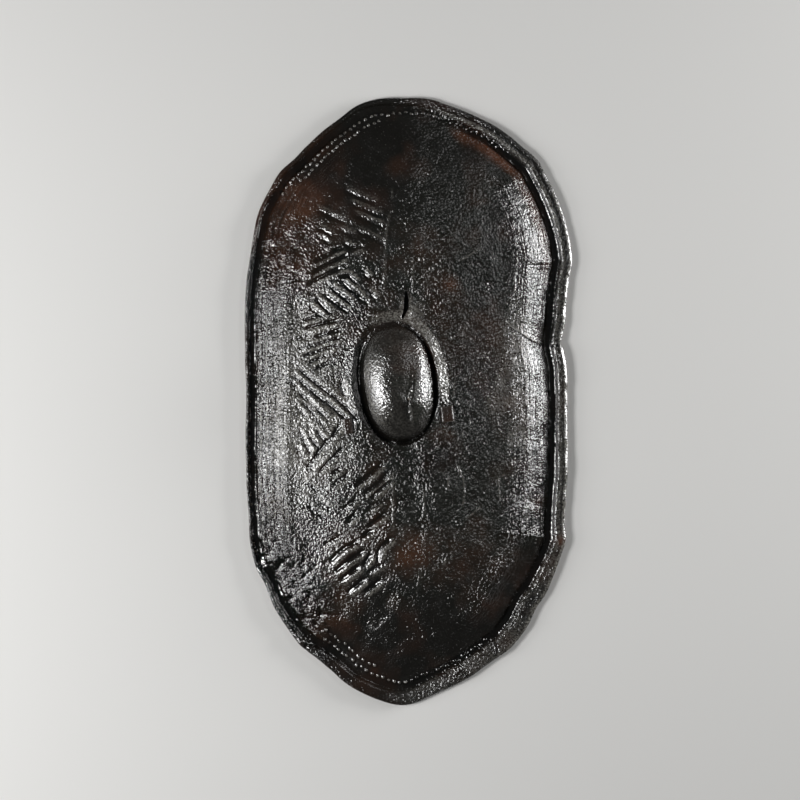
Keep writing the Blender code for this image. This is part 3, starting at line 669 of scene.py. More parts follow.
def frontSurface(x, y):
    # The front's height and its masks: hollow (painted shade in grooves, painted highlights on ridges), warm
    # (red-brown), rough
    distance = distanceToEdge(x, y)
    turn = clockwise(x, y)
    groove = roundTheShield("grooveDistance", x, y)
    up = distance - groove  # distance from the groove's middle, up the strip
    across, along = bossAxes(x, y)
    past = pastBoss(across, along)[0]
    onBorder = fall(distance, groove - 0.004, groove)
    onBoss = fall(past, -0.006, 0.0)
    arcs = {name: between(turn, *ends) for name, ends in front["arcs"].items()}
    paintedGlint = front["paintedGlint"]

    # The groove inside the border is flat and painted dark, a painted shade, less so along the smooth head and foot
    trench = 0.25 + 0.75 * (arcs["rightTrench"] + arcs["leftTrench"])
    height = baseHeight(x, y, distance) + bands(turn, distance, front["bandHeights"])
    hollow = 0.95 * trench * fall(np.abs(up), 0.0048, 0.0078) + bands(turn, distance, front["bandHollows"])

    # Lines that run along the strip, pressed in and painted dark as painted shade, with a painted highlight beside,
    # each broken up by noise
    broken = ramp(latticeNoise(turn * 90.0, distance * 300.0, 1.0, 11), -0.8, 0.3)
    for ends, (depth, depthWidth), (dark, darkWidth), (light, lightWidth), lines in front["stripLines"]:
        for place, strength in lines:
            share = between(turn, *ends) * broken * strength
            beside = light * bump(up, place + front["lightBeside"], lightWidth)
            height = height - share * depth * bump(up, place, depthWidth)
            hollow = hollow + share * (dark * bump(up, place, darkWidth) - beside)

    # Lumps and pits: the lower left border is the roughest, the boss is smooth; shallow dents low on the boss
    roughLeft = arcs["roughLeft"] * fall(distance, 0.055, 0.085)
    lowRight = arcs["lowRight"] * onBorder
    pits = ramp(latticeNoise(x, y, 0.0085, 71), 0.15, 0.8)
    height = height + lumps(x, y, front["lumps"]) * (1.0 - 0.75 * fall(past, -0.01, 0.0))
    height = height - (roughLeft * 0.0020 + lowRight * 0.0008) * pits
    height = height + roughLeft * 0.0008 * layeredNoise(x, y, 0.012, 81) + bells(x, y, front["dents"])
    # The pits are painted darker: painted shade
    hollow = hollow + (roughLeft + 0.4 * lowRight) * pits

    # The groove beside the boss is painted dark, a painted shade, darkest at its lower left
    atTop = rise(along / np.maximum(np.hypot(across, along), 1e-6), *boss["top"])
    deep = rise(-across, 0.01, 0.045) * rise(-along, -0.03, 0.04)
    height = height - 0.0015 * deep * bump(past, 0.0065, 0.0045)
    hollow = hollow + 0.8 * (1.0 - 0.8 * atTop) * bump(past, 0.004, 0.0040) + deep * bump(past, 0.006, 0.006)

    # Painted highlights, a lighter colour: the collar, the boss's left half, and streaks and patches of the left
    # strip and field; also the right field, the whole boss and the border at the foot
    angle = np.arctan2(along, across)
    onCollar = rise(angle, -0.55, -0.30) * rise(angle, 1.95, 1.70) * rise(past, 0.0055, 0.0085)
    leftHalf = rise(-across, 0.010, 0.030) * fall(np.abs(along + 0.010), 0.040, 0.062) * fall(past, -0.004, 0.0)
    streaks = ramp(latticeNoise(distance * 210.0, y * 22.0, 1.0, 95), -0.1, 0.7)
    patches = ramp(layeredNoise(x, y, 0.030, 97), 0.0, 0.8)
    paintedGlintLeft = bump(x, -0.195, 0.034) * bump(y, -0.060, 0.125) * (0.3 + 0.7 * streaks)
    paintedGlintLeft = paintedGlintLeft + bump(x, -0.155, 0.050) * bump(y, -0.045, 0.090) * (0.65 + 0.60 * patches)
    paintedGlintRight = bump(x, 0.180, 0.045) * bump(y, -0.010, 0.110) * (0.2 + 0.8 * patches)
    paintedGlintRight = paintedGlintRight + 0.7 * bump(x, 0.178, 0.020) * bump(y, 0.105, 0.065)
    hollow = hollow - paintedGlint["collar"] * onCollar * fall(past, 0.022, 0.027) - paintedGlint["bossLeft"] * leftHalf
    hollow = hollow - paintedGlint["left"] * np.clip(paintedGlintLeft, 0.0, 1.0) - paintedGlint["right"] * paintedGlintRight
    hollow = hollow - paintedGlint["boss"] * fall(past, -0.008, -0.002)
    hollow = hollow - paintedGlint["footBorder"] * onBorder * arcs["paintedGlintFoot"]
    # Single patches of painted highlights and painted shade
    hollow = hollow + bells(x, y, front["paintedLight"])

    plan = np.column_stack([x, y])
    for families, profile in ((pressedLines, pressed), (raisedLines, raised), (creaseLines, crease)):
        addLines(height, hollow, plan, families, profile)

    # The hide stands up beside the tear, in a low lip on both sides
    near = np.flatnonzero(np.hypot(x - tear["middle"][0], y - tear["middle"][1]) < tear["reach"])
    side, travelled, length = placesOffLine(openCurve(fromPhoto(tear["points"]), tear["step"]), plan[near])
    lip = rise(travelled, *tear["lipStart"]) * rise(length - travelled, *strokes["fade"])
    height[near] += tear["lip"] * lip * bump(np.abs(side), tear["lipPlace"], tear["lipWidth"][0])
    # The lip is painted lighter: a painted highlight
    hollow[near] -= 0.5 * lip * bump(np.abs(side), tear["lipPlace"], tear["lipWidth"][1])

    warm = 0.02 + 0.20 * layeredNoise(x, y, 0.055, 91) + bells(x, y, front["warm"])
    warm = warm + 1.2 * arcs["warmStrip"] * bump(up, 0.012, 0.010)
    rough = roughLeft + 0.5 * lowRight + 0.4 * onBorder + bells(x, y, front["rough"])
    # How strongly the lines along the rim show, and where the grain is calmer: places with painted highlights, dots
    # and the ends
    leftLines = arcs["leftLines"] * fall(up, 0.045, 0.070)
    rightLines = arcs["rightLines"] * fall(up, 0.055, 0.085)
    lined = (leftLines + 0.8 * rightLines) * rise(up, 0.003, 0.009)
    dotted = arcs["headDots"] * bump(distance, 0.0300, 0.0150)
    dotted = dotted + arcs["footDots"] * bump(distance, 0.0400, 0.0170)
    ends = (rise(y, 0.150, 0.270) + rise(y, -0.200, -0.300)) * rise(x, 0.03, -0.05)
    calm = 0.40 * rightLines * fall(up, 0.030, 0.045) + 0.35 * onBoss - 0.4 * np.minimum(hollow, 0.0)
    masks = {
        "hollow": np.clip(hollow, -0.85, 1.0),
        "warm": np.clip(warm, 0.0, 1.0),
        "rough": np.clip(rough, 0.0, 1.0),
        "lined": np.clip(lined, 0.0, 1.0),
        "calm": np.clip(calm + 0.85 * dotted + 0.45 * ends, 0.0, 0.85),
        "inside": np.zeros_like(x),
        "rimAcross": distance / 0.0055,  # where the lines' pattern is read: across, then round
        "rimRound": turn,
    }
    return height, np.column_stack([masks[name] for name in maskNames])


def ringDistances(turns):
    # The groove's distance from the edge, half its width, the strip's width, and the edge's uneven inset
    edge = evenPoints(outline, turns)
    cut = notch["depth"] * ramp(np.abs(edge[:, 1] - notch["y"]), notch["reach"], 0.0) * (edge[:, 0] > 0.0)
    ripple = shield["edgeRipple"] * latticeNoise(turns * 90.0, turns * 0.0, 1.0, 21)
    return (roundTheShield("grooveDistance", *edge.T), shield["grooveWidth"] / 2,
            roundTheShield("stripWidth", *edge.T), shield["edgeInset"] + cut + ripple)


def hexPoints(spacing):
    # Staggered rows of points over the whole shield
    columns = np.arange(-shield["halfWidth"], shield["halfWidth"], spacing)
    rows = np.arange(-shield["halfLength"], shield["halfLength"], spacing * math.sqrt(3) / 2)
    x, y = np.meshgrid(columns, rows)
    x = x + (np.arange(len(rows)) % 2)[:, None] * spacing / 2
    return np.column_stack([x.ravel(), y.ravel()])


def nearAnyLine(points, lines, reach):
    # True for points beside one of the lines, within the given reach
    taken = np.zeros(len(points), bool)
    for line in lines:
        near = inBox(points, line, reach)
        if len(near):
            side, travelled, length = placesOffLine(line, points[near])
            along = (travelled > -grid["pastEnd"]) & (travelled < length + grid["pastEnd"])
            taken[near] |= (np.abs(side) < reach) & along
    return taken


def strokeRows():
    # Rows of points along every line, leaving out what falls inside the band of a line laid before
    rows = []
    laid = []
    for families, profile in ((raisedLines, raised), (creaseLines, crease), (pressedLines, pressed)):
        for points in [points for _, lines in families for points in lines]:
            line = openCurve(fromPhoto(points), grid["rowStep"])
            side = toTheRight(line) * facingRight(line)
            band = line[:, None] + side[:, None] * np.array(profile["rows"])[None, :, None]
            band = band.reshape(-1, 2)
            rows.append(band[~nearAnyLine(band, laid, grid["offLine"][2])])
            laid.append(openCurve(fromPhoto(points), grid["lineStep"]))
    return np.vstack(rows), laid


def dotPoints():
    # Each dot is a middle point, a ring half way down and a ring at its foot
    around = np.linalg.norm(np.roll(outline, -1, axis=0) - outline, axis=1).sum()
    centres = []
    tall = []
    for first, last, firstDistance, lastDistance, share in dots["rows"]:
        count = int((last - first) * around / dots["pitch"])
        turns = np.linspace(first, last, count)
        centres.append(ringInsideEdge(turns, np.linspace(firstDistance, lastDistance, count)))
        tall.append(np.full(count, share))
    centres = np.vstack(centres)
    chance = np.random.default_rng(5)
    centres = centres + chance.normal(0.0, dots["stray"], centres.shape)
    tall = np.concatenate(tall) * chance.uniform(0.50, 1.20, len(centres))
    angle = np.arange(8) / 8 * 2 * math.pi
    circle = np.column_stack([np.cos(angle), np.sin(angle)])
    foot = (centres[:, None] + circle[None] * dots["radius"]).reshape(-1, 2)
    shoulder = (centres[:, None] + circle[None] * dots["radius"] * dots["shoulder"]).reshape(-1, 2)
    return centres, tall, np.vstack([shoulder, foot, centres])


def addDots(height, masks, plan, centres, tall):
    # A rounded point on each centre: full in the middle, nothing at its foot, with a painted highlight on top and
    # painted shade round its foot
    for first in range(0, len(centres), 12):
        portion = centres[first:first + 12]
        near = inBox(plan, portion, 2 * dots["radius"])
        gaps = np.hypot(plan[near, :1] - portion[None, :, 0], plan[near, 1:] - portion[None, :, 1])
        nearest = gaps.argmin(axis=1)
        gap = gaps[np.arange(len(near)), nearest]
        share = 1.0 - np.clip(gap / dots["radius"], 0.0, 1.0) ** 2
        height[near] += dots["height"] * tall[first + nearest] * share ** 1.3
        # Mask 0 is hollow: painted shade round the foot, painted highlight on top
        masks[near, 0] += 0.7 * bump(gap, dots["radius"] * 1.2, 0.0009) - 1.3 * tall[first + nearest] * share


def slitLoops():
    # The four slits of the strap as narrow rounded boxes, and the tear above the boss
    loops = []
    corner = 0.0006
    halfWide = strap["thickness"] / 2 + strap["slitClearance"]
    halfLong = strap["width"] / 2 + strap["slitClearance"]
    right, left = strap["rightSlit"], -strap["leftSlit"]
    for across in (right, right + strap["rightTab"], left, left - strap["leftTab"]):
        side = np.linspace(-halfLong + corner, halfLong - corner, 11)
        box = np.vstack([
            np.column_stack([np.full(11, halfWide), side]), [[halfWide - corner, halfLong]],
            [[-halfWide + corner, halfLong]], np.column_stack([np.full(11, -halfWide), side[::-1]]),
            [[-halfWide + corner, -halfLong]], [[halfWide - corner, -halfLong]],
        ])
        loops.append(np.column_stack(fromBossAxes(across + box[:, 0], box[:, 1] - strap["drop"])))
    line = openCurve(fromPhoto(tear["points"]), tear["step"])
    share = np.linspace(0.0, 1.0, len(line))
    half = tear["width"] / 2 * np.sqrt(np.clip(np.sin(share * math.pi), 0.0, 1.0))
    half = half * (1.0 + 0.25 * latticeNoise(share * 9.0, share * 0.0, 1.0, 41))
    half[0] = half[-1] = 0.0
    side = toTheRight(line) * half[:, None]
    loop = np.vstack([line + side, (line - side)[-2:0:-1]])
    beside = np.roll(loop, -1, axis=0)
    turnsLeft = (loop[:, 0] * beside[:, 1] - loop[:, 1] * beside[:, 0]).sum() > 0.0
    loops.append(loop if turnsLeft else loop[::-1])
    return loops


def triangulate(loops, free):
    # Delaunay triangles over all points; triangles whose three corners lie on one loop are openings
    points = np.vstack([*loops, free])
    owner = np.concatenate([np.full(len(loop), index) for index, loop in enumerate(loops)] + [np.full(len(free), -1)])
    edges = []
    start = 0
    for loop in loops:
        index = np.arange(len(loop))
        edges.append(np.column_stack([start + index, start + (index + 1) % len(loop)]))
        start += len(loop)
    found = delaunay_2d_cdt(points.tolist(), np.vstack(edges).tolist(), [], 0, 1e-7, False)
    if len(found[0]) != len(points):
        raise ValueError(f"the grid's edges cross: {len(points)} points became {len(found[0])}")
    triangles = np.array(found[2])
    corners = owner[triangles]
    opening = (corners[:, 0] >= 0) & (corners[:, 0] == corners[:, 1]) & (corners[:, 1] == corners[:, 2])
    return points, triangles[~opening]


def farFrom(points, centres, reach):
    # True where no centre lies within reach
    keep = np.ones(len(points), bool)
    for portion in np.array_split(centres, 12):
        near = inBox(points, portion, reach)
        if len(near):
            gap = np.linalg.norm(points[near][:, None] - portion[None], axis=2).min(axis=1)
            keep[near[gap < reach]] = False
    return keep


def clearOf(points, loops, reach):
    # Leaves out points inside a loop or closer to its own points than the given reach
    keep = np.ones(len(points), bool)
    for loop in loops:
        near = inBox(points, loop, reach)
        if len(near):
            gap = np.linalg.norm(points[near][:, None] - loop[None], axis=2).min(axis=1)
            keep[near[(gap < reach) | insideLoop(points[near], loop)]] = False
    return points[keep]


def separate(points, size):
    # One point for each small square cell, the last one given
    cells = np.round(points / size).astype(int)
    _, kept = np.unique(cells[::-1], axis=0, return_index=True)
    return points[::-1][np.sort(kept)]


def ringQuads(first, second, count):
    # Faces between two rings of equal count, each given by the number of its first point
    index = np.arange(count)
    beside = (index + 1) % count
    return np.column_stack([first + index, second + index, second + beside, first + beside])


def insideStrip(field, ring, stripTop, edgeMargin, collarMargin):
    # The field's points above the strip and outside the collar, by the margins; the distance of the strip's top
    # is known at a ring's points and read at the field's turns
    turns = clockwise(*ring.T)
    order = np.argsort(turns)
    keys = np.concatenate([turns[order] - 1.0, turns[order], turns[order] + 1.0])
    limit = np.interp(clockwise(*field.T), keys, np.tile(stripTop[order], 3))
    inside = (distanceToEdge(*field.T) > limit + edgeMargin) & insideLoop(field, outline)
    return field[inside & (pastBoss(*bossAxes(*field.T))[0] > collarEnd + collarMargin)]


def makeFrontGrid(slits, bossTurns):
    # Triangles over the front: rings inside the edge and round the boss, rows along the lines, dots, and
    # staggered points between
    turns = np.arange(grid["around"]) / grid["around"]
    groove, half, stripWidth, inset = ringDistances(turns)
    distances = [inset + (groove - half - inset) * share for share in grid["borderRings"]]
    distances += [groove + place for place in grid["grooveRings"]]
    distances += [groove + half + stripWidth * step / grid["stripRings"] for step in range(1, grid["stripRings"] + 1)]
    rings = [ringInsideEdge(turns, distance) for distance in distances]
    close, closeEnd, wideStart, wide = grid["collarRings"]
    steps = np.concatenate([np.arange(close, closeEnd, close), np.arange(wideStart, collarEnd, wide)])
    collars = np.vstack([bossRing(bossTurns, past, 1.0) for past in steps])
    lineRows, laid = strokeRows()
    centres, tall, dotRings = dotPoints()

    field = hexPoints(grid["fieldSpacing"])
    field = field + np.random.default_rng(8).uniform(-grid["stray"], grid["stray"], field.shape)
    field = insideStrip(field, rings[0], groove + half + stripWidth, *grid["fieldMargins"])
    lineRows = lineRows[pastBoss(*bossAxes(*lineRows.T))[0] > grid["rowsOffBoss"]]
    strips = np.vstack(rings[1:])
    ringsOff, fieldOff = grid["offLine"][:2]
    field = field[~nearAnyLine(field, laid, fieldOff)]
    strips = strips[~nearAnyLine(strips, laid, ringsOff)]
    collars = collars[~nearAnyLine(collars, laid, ringsOff)]
    clear = dots["radius"] * dots["clear"]
    strips = strips[farFrom(strips, centres, clear)]
    field = field[farFrom(field, centres, clear)]
    free = clearOf(np.vstack([strips, collars, field, lineRows]), slits, grid["offSlit"][0])
    free = separate(np.vstack([free, dotRings]), grid["smallest"][0])
    footLoop = bossRing(bossTurns, boss["footGap"], 1.0)
    plan, triangles = triangulate([rings[0], footLoop, *slits], free)
    print("stage: front of the hide,", len(plan), "points and", len(triangles), "triangles")
    return turns, inset, centres, tall, plan, triangles


def smoothFront(x, y):
    # The front without its finer relief, which doesn't show on the back
    return baseHeight(x, y, distanceToEdge(x, y)) + lumps(x, y, front["lumps"][:1])


def frontNormals(x, y):
    # Normals of the plain front from its heights a little to each side
    step = 0.0008
    slopeX = (smoothFront(x + step, y) - smoothFront(x - step, y)) / (2 * step)
    slopeY = (smoothFront(x, y + step) - smoothFront(x, y - step)) / (2 * step)
    return unit(np.column_stack([-slopeX, -slopeY, np.ones_like(slopeX)]))


def onBack(plan):
    # Straight below the plain front by the thickness over the normal's rise, and never below the floor
    upright = np.maximum(frontNormals(*plan.T)[:, 2], 0.55)
    height = np.maximum(smoothFront(*plan.T) - shield["thickness"] / upright, -shield["middle"][2])
    return np.column_stack([plan, height])


def makeBackGrid(turns, inset, slits, backEdge, backFoot):
    # Coarser triangles over the back: rings inside the edge and round the boss, with staggered points between
    coarse = np.arange(grid["backAround"]) / grid["backAround"]
    groove, half, stripWidth, coarseInset = ringDistances(coarse)
    steps = [coarseInset + (groove - half - coarseInset) * value for value in (0.25, 0.5, 0.75, 1.0)]
    steps += [groove - half + 2 * half * value for value in (0.33, 0.67, 1.0)]
    steps += [groove + half + stripWidth * value for value in (0.2, 0.4, 0.6, 0.8, 1.0)]
    innerEdge = ringInsideEdge(turns, inset + grid["backInset"])
    rings = [innerEdge] + [ringInsideEdge(coarse, step) for step in steps]
    pasts = np.arange(0.003, collarEnd + grid["backStep"], grid["backStep"])
    collars = [bossRing(coarse, past, 1.0) for past in pasts]
    stripTop = np.interp(turns, coarse, steps[-1])
    field = insideStrip(hexPoints(grid["backSpacing"]), innerEdge, stripTop, grid["backStep"], grid["backStep"])
    free = clearOf(np.vstack([*rings, *collars, field]), slits, grid["offSlit"][1])
    free = separate(free, grid["smallest"][1])
    inside = insideLoop(free, backEdge[:, :2]) & ~insideLoop(free, backFoot[:, :2])
    back = onBack(free)[inside & farFrom(free, backEdge[:, :2], grid["offBackEdge"])]
    slitBacks = np.split(onBack(np.vstack(slits)), np.cumsum([len(loop) for loop in slits])[:-1])
    loops = [backEdge, backFoot, *slitBacks]
    triangles = triangulate([loop[:, :2] for loop in loops], back[:, :2])[1]
    points = np.vstack([*loops, back])
    print("stage: back of the hide,", len(points), "points and", len(triangles), "triangles")
    return points, triangles


def plainMasks(count, **values):
    # The same mask values at every point, 0 where none is given
    return np.tile([values.get(name, 0.0) for name in maskNames], (count, 1))


def buildHide():
    # Front, dome, back, hollow, cut edge and slit walls, joined along the loops that they share
    around = grid["around"]
    bossAround = grid["bossAround"]
    bossTurns = np.arange(bossAround) / bossAround
    slits = slitLoops()
    turns, inset, centres, tall, plan, triangles = makeFrontGrid(slits, bossTurns)
    blocks = []
    masks = []
    faces = [triangles]

    def addBlock(points, pointMasks):
        # Lays points after the earlier ones and gives the number of the first
        blocks.append(points)
        masks.append(pointMasks)
        return sum(len(block) for block in blocks[:-1])

    def closeOver(foot, start, ringCount, count, turned):
        # Faces over the rings laid from start on, and a fan round the middle point behind them
        index = np.arange(count)
        for ring in start + np.arange(ringCount) * count:
            faces.append(ringQuads(foot, ring, count)[:, ::-1 if turned else 1])
            foot = ring
        sides = [foot + index, foot + (index + 1) % count]
        pole = np.full(count, start + ringCount * count)
        faces.append(np.column_stack([*(sides[::-1] if turned else sides), pole]))

    height, frontMasks = frontSurface(*plan.T)
    addDots(height, frontMasks, plan, centres, tall)
    frontPoints = np.column_stack([plan, height])
    addBlock(frontPoints, frontMasks)

    # The dome of the boss: rings from its foot to a last small one, closed by a middle point
    shares = 1.0 - (1.0 - np.cos(np.linspace(0.06, 1.0, grid["domeRings"]) * math.pi / 2))
    shares = np.append(shares[:-1], 0.03)
    dome = np.vstack([*[bossRing(bossTurns, 0.0, share) for share in shares], [boss["centre"]]])
    domeHeight, domeMasks = frontSurface(*dome.T)
    domeStart = addBlock(np.column_stack([dome, domeHeight]), domeMasks)
    closeOver(around, domeStart, len(shares), bossAround, True)

    # The back: coarser points, each moved off the plain front by the thickness
    edge = frontPoints[:around]
    edgeNormals = frontNormals(edge[:, 0], edge[:, 1])
    backEdge = edge - edgeNormals * shield["thickness"]
    backFoot = bossRing(bossTurns[::2], boss["footGap"], 1.0)
    outward = unit(np.column_stack([backFoot - boss["centre"], np.zeros(len(backFoot))]))
    backFoot = np.column_stack([backFoot, smoothFront(*backFoot.T)]) - outward * boss["hollowWall"]
    backFoot[:, 2] -= boss["footDrop"]
    backPoints, backTriangles = makeBackGrid(turns, inset, slits, backEdge, backFoot)
    backStart = addBlock(backPoints, plainMasks(len(backPoints), inside=1.0))
    faces.append(backTriangles[:, ::-1] + backStart)

    # The hollow of the boss, inside its dome by the thickness
    roof, thinning, middleRoof = boss["hollowRoof"]
    hollow = []
    for share in np.linspace(0.97, 0.10, grid["hollowRings"]):
        top = smoothFront(*bossRing(bossTurns[::2], 0.0, share).T) - roof + thinning * (1.0 - share)
        hollow.append(np.column_stack([bossRing(bossTurns[::2], -boss["hollowWall"] * share, share), top]))
    middleTop = smoothFront(*np.array([boss["centre"]]).T)[0] - middleRoof
    hollow = np.vstack([*hollow, [[*boss["centre"], middleTop]]])
    hollowStart = addBlock(hollow, plainMasks(len(hollow), inside=1.0))
    closeOver(backStart + around, hollowStart, grid["hollowRings"], bossAround // 2, False)

    # The cut edge: rings over its rounded outside, from the front to the back
    middle = (edge + backEdge) / 2
    outward = unit(np.cross(edgeNormals, np.roll(edge, -1, axis=0) - np.roll(edge, 1, axis=0)))
    outward = outward * np.sign((outward[:, :2] * edge[:, :2]).sum(axis=1))[:, None]
    previous = 0
    for angle in np.linspace(0.0, math.pi, grid["edgeRings"])[1:-1]:
        ring = middle + (edge - middle) * math.cos(angle)
        ring = ring + outward * shield["thickness"] / 2 * shield["edgeRound"] * math.sin(angle) ** 0.8
        # The cut edge is painted lighter, a painted highlight, and a little warmer
        start = addBlock(ring, plainMasks(around, hollow=-0.35, warm=0.2))
        faces.append(ringQuads(previous, start, around))
        previous = start
    faces.append(ringQuads(previous, backStart, around))

    # Walls of the slits, from the front's loops to the back's
    frontLoop = around + bossAround
    backLoop = backStart + around + bossAround // 2
    for loop in slits:
        faces.append(ringQuads(frontLoop, backLoop, len(loop)))
        frontLoop += len(loop)
        backLoop += len(loop)
    points = np.vstack(blocks) + np.array(shield["middle"])
    masks = np.vstack(masks)
    thirds, fourths = (np.vstack([group for group in faces if group.shape[1] == corners]) for corners in (3, 4))
    print("stage: hide shaped,", len(thirds) + 2 * len(fourths), "triangles")
    masks = {name: masks[:, index] for index, name in enumerate(maskNames)}
    return makeMesh("hide_body", points, [thirds, fourths], masks, math.radians(65.0))


def makeMesh(name, points, faceGroups, masks, sharpAngle):
    # A mesh from whole arrays; masks become one float attribute each
    mesh = bpy.data.meshes.new(name)
    corners = np.concatenate([group.ravel() for group in faceGroups]).astype(np.int32)
    sizes = np.concatenate([np.full(len(group), group.shape[1]) for group in faceGroups]).astype(np.int32)
    starts = np.concatenate([[0], np.cumsum(sizes)[:-1]]).astype(np.int32)
    mesh.vertices.add(len(points))
    mesh.loops.add(len(corners))
    mesh.polygons.add(len(sizes))
    mesh.vertices.foreach_set("co", points.astype(np.float32).ravel())
    mesh.loops.foreach_set("vertex_index", corners)
    mesh.polygons.foreach_set("loop_start", starts)
    mesh.update(calc_edges=True)
    mesh.validate()
    work = bmesh.new()
    work.from_mesh(mesh)
    bmesh.ops.recalc_face_normals(work, faces=work.faces[:])
    work.to_mesh(mesh)
    work.free()
    mesh.polygons.foreach_set("use_smooth", np.ones(len(mesh.polygons), bool))
    mesh.set_sharp_from_angle(angle=sharpAngle)
    for mask, values in masks.items():
        layer = mesh.attributes.new(mask, "FLOAT", "POINT")
        layer.data.foreach_set("value", values.astype(np.float32))
    return mesh


def link(thing):
    # Puts an object into the scene
    bpy.context.scene.collection.objects.link(thing)
    return thing


def addPiece(mesh, material, node):
    # A visible piece on the one body, in the place of a node of the CAD
    mesh.materials.append(material)
    piece = link(bpy.data.objects.new(mesh.name, mesh))
    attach(piece, "root")
    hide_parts(node)


# The strap, seen from its edge: tail, stitch over the front, grip behind the boss, stitch, tail
strap = {
    "width": 0.026,
    "thickness": 0.0025,
    "bend": 0.0014,
    "drop": 0.0605,  # its middle line lies this far below the boss's centre
    "tail": 0.014,
    "slitClearance": 0.0006,
    "frontClearance": 0.0008,
    "backClearance": 0.0040,
    "rightSlit": 0.064,
    "rightTab": 0.018,
    "leftSlit": 0.082,
    "leftTab": 0.014,
    "wear": 0.0003,
}


def strapPath():
    # Corners of the strap's middle line: across the boss, and up; each stitch clears the highest place below it
    half = strap["width"] / 2 + strap["slitClearance"]
    along = np.linspace(-half, half, 7)[:, None] - strap["drop"]
    right, left = strap["rightSlit"], -strap["leftSlit"]
    farRight, farLeft = right + strap["rightTab"], left - strap["leftTab"]
    rightEnd, leftEnd = farRight + strap["tail"], farLeft - strap["tail"]

    def heights(start, end):
        # The plain front's heights under that length of the strap
        x, y = fromBossAxes(np.linspace(start, end, 41)[None, :] + along * 0.0, along)
        return baseHeight(x, y, distanceToEdge(x, y))

    above = strap["frontClearance"] + strap["thickness"] / 2
    below = shield["thickness"] + strap["backClearance"] + strap["thickness"] / 2
    behind = heights(leftEnd, rightEnd).min() - below
    overRight = heights(right, farRight).max() + above
    overLeft = heights(farLeft, left).max() + above
    return np.array([
        (leftEnd, behind), (farLeft, behind), (farLeft, overLeft), (left, overLeft), (left, behind),
        (right, behind), (right, overRight), (farRight, overRight), (farRight, behind), (rightEnd, behind),
    ])


def roundCorners(corners, radius, steps):
    # Each inner corner becomes a short arc, a quadratic curve from one side to the other
    path = [corners[:1]]
    share = np.linspace(0.0, 1.0, steps)[:, None]
    for before, here, after in zip(corners[:-2], corners[1:-1], corners[2:]):
        start = here + (before - here) / np.linalg.norm(before - here) * radius
        end = here + (after - here) / np.linalg.norm(after - here) * radius
        path.append((1 - share) ** 2 * start + 2 * share * (1 - share) * here + share**2 * end)
    path.append(corners[-1:])
    return np.vstack(path)


def buildStrap():
    # A flat section with rounded edges, carried along the path and square to it
    bent = roundCorners(strapPath(), strap["bend"] * 1.5, 5)
    travelled = alongPath(bent)
    wanted = np.unique(np.round(np.concatenate([travelled, np.arange(0.0, travelled[-1], 0.003)]), 5))
    wanted = wanted[np.concatenate([[True], np.diff(wanted) > 0.0004])]
    path = readPath(bent, travelled, wanted)
    along = unit(np.gradient(path, wanted, axis=0))
    side = np.column_stack([-along[:, 1], along[:, 0]])

    angle = np.linspace(-math.pi / 2, math.pi / 2, 6)
    radius = strap["thickness"] / 2
    flat = strap["width"] / 2 - radius
    inner = np.linspace(-flat, flat, 7)[1:-1]
    rounded = radius * np.cos(angle)
    rim = radius * np.sin(angle)
    wide = np.concatenate([flat + rounded, inner[::-1], -flat - rounded, inner])
    thick = np.concatenate([rim, np.full(5, radius), -rim, np.full(5, -radius)])
    count = len(wide)
    wear = strap["wear"] * latticeNoise(wanted[:, None] * 90.0, np.sign(wide)[None, :] + 3.0, 1.0, 17)
    across = path[:, None, 0] + side[:, None, 0] * thick[None, :]
    up = path[:, None, 1] + side[:, None, 1] * thick[None, :]
    x, y = fromBossAxes(across, wide[None, :] + wear - strap["drop"])
    points = np.stack([x, y, up], axis=2).reshape(-1, 3) + np.array(shield["middle"])
    faces = [ringQuads(row * count, (row + 1) * count, count) for row in range(len(path) - 1)]
    caps = [np.arange(count)[None, :], (np.arange(count)[::-1] + (len(path) - 1) * count)[None, :]]
    # The strap's rounded edges are painted lighter: a painted highlight
    hollow = np.tile(np.where(np.abs(wide) > flat, -0.5, 0.0), len(path))
    masks = {"hollow": hollow, "warm": np.full(hollow.size, 0.3), "inside": np.full(hollow.size, 0.25)}
    return makeMesh("grip_strap_leather", points, [np.vstack(faces), *caps], masks, math.radians(50.0))


# The two leathers: the colour of the flesh side, the gloss, and how high the grain and the rim's lines stand
hideLook = {"inner": (0.085, 0.058, 0.036, 1.0), "ior": 1.85, "grainDistance": 0.0023, "lines": 1.9}
strapLook = {"inner": (0.010, 0.008, 0.006, 1.0), "ior": 1.8, "grainDistance": 0.0016, "lines": 0.0}


def newGroup(name, inputs, outputs):
    # A shader node group; inputs come with their usual values, and a place has none
    tree = bpy.data.node_groups.new(name, "ShaderNodeTree")
    kinds = {type(None): "NodeSocketVector", tuple: "NodeSocketColor", float: "NodeSocketFloat"}
    for socket, value in inputs.items():
        made = tree.interface.new_socket(name=socket, in_out="INPUT", socket_type=kinds[type(value)])
        if value is not None:
            made.default_value = value
    for socket in outputs:
        kind = "NodeSocketColor" if socket == "Color" else "NodeSocketFloat"
        tree.interface.new_socket(name=socket, in_out="OUTPUT", socket_type=kind)
    return tree, tree.nodes.new("NodeGroupInput").outputs, tree.nodes.new("NodeGroupOutput").inputs


def connect(tree, value, socket):
    # Links another node's socket, or sets a plain value
    if isinstance(value, bpy.types.NodeSocket):
        tree.links.new(value, socket)
    else:
        socket.default_value = value


def addNode(tree, kind, values, **settings):
    # A node with its settings, and what goes into its sockets by name or number
    node = tree.nodes.new("ShaderNode" + kind)
    for name, value in settings.items():
        setattr(node, name, value)
    for socket, value in values.items():
        connect(tree, value, node.inputs[socket])
    return node


def maths(tree, operation, first, second=0.0, clamp=False):
    # One sum on two values
    return addNode(tree, "Math", {0: first, 1: second}, operation=operation, use_clamp=clamp).outputs[0]


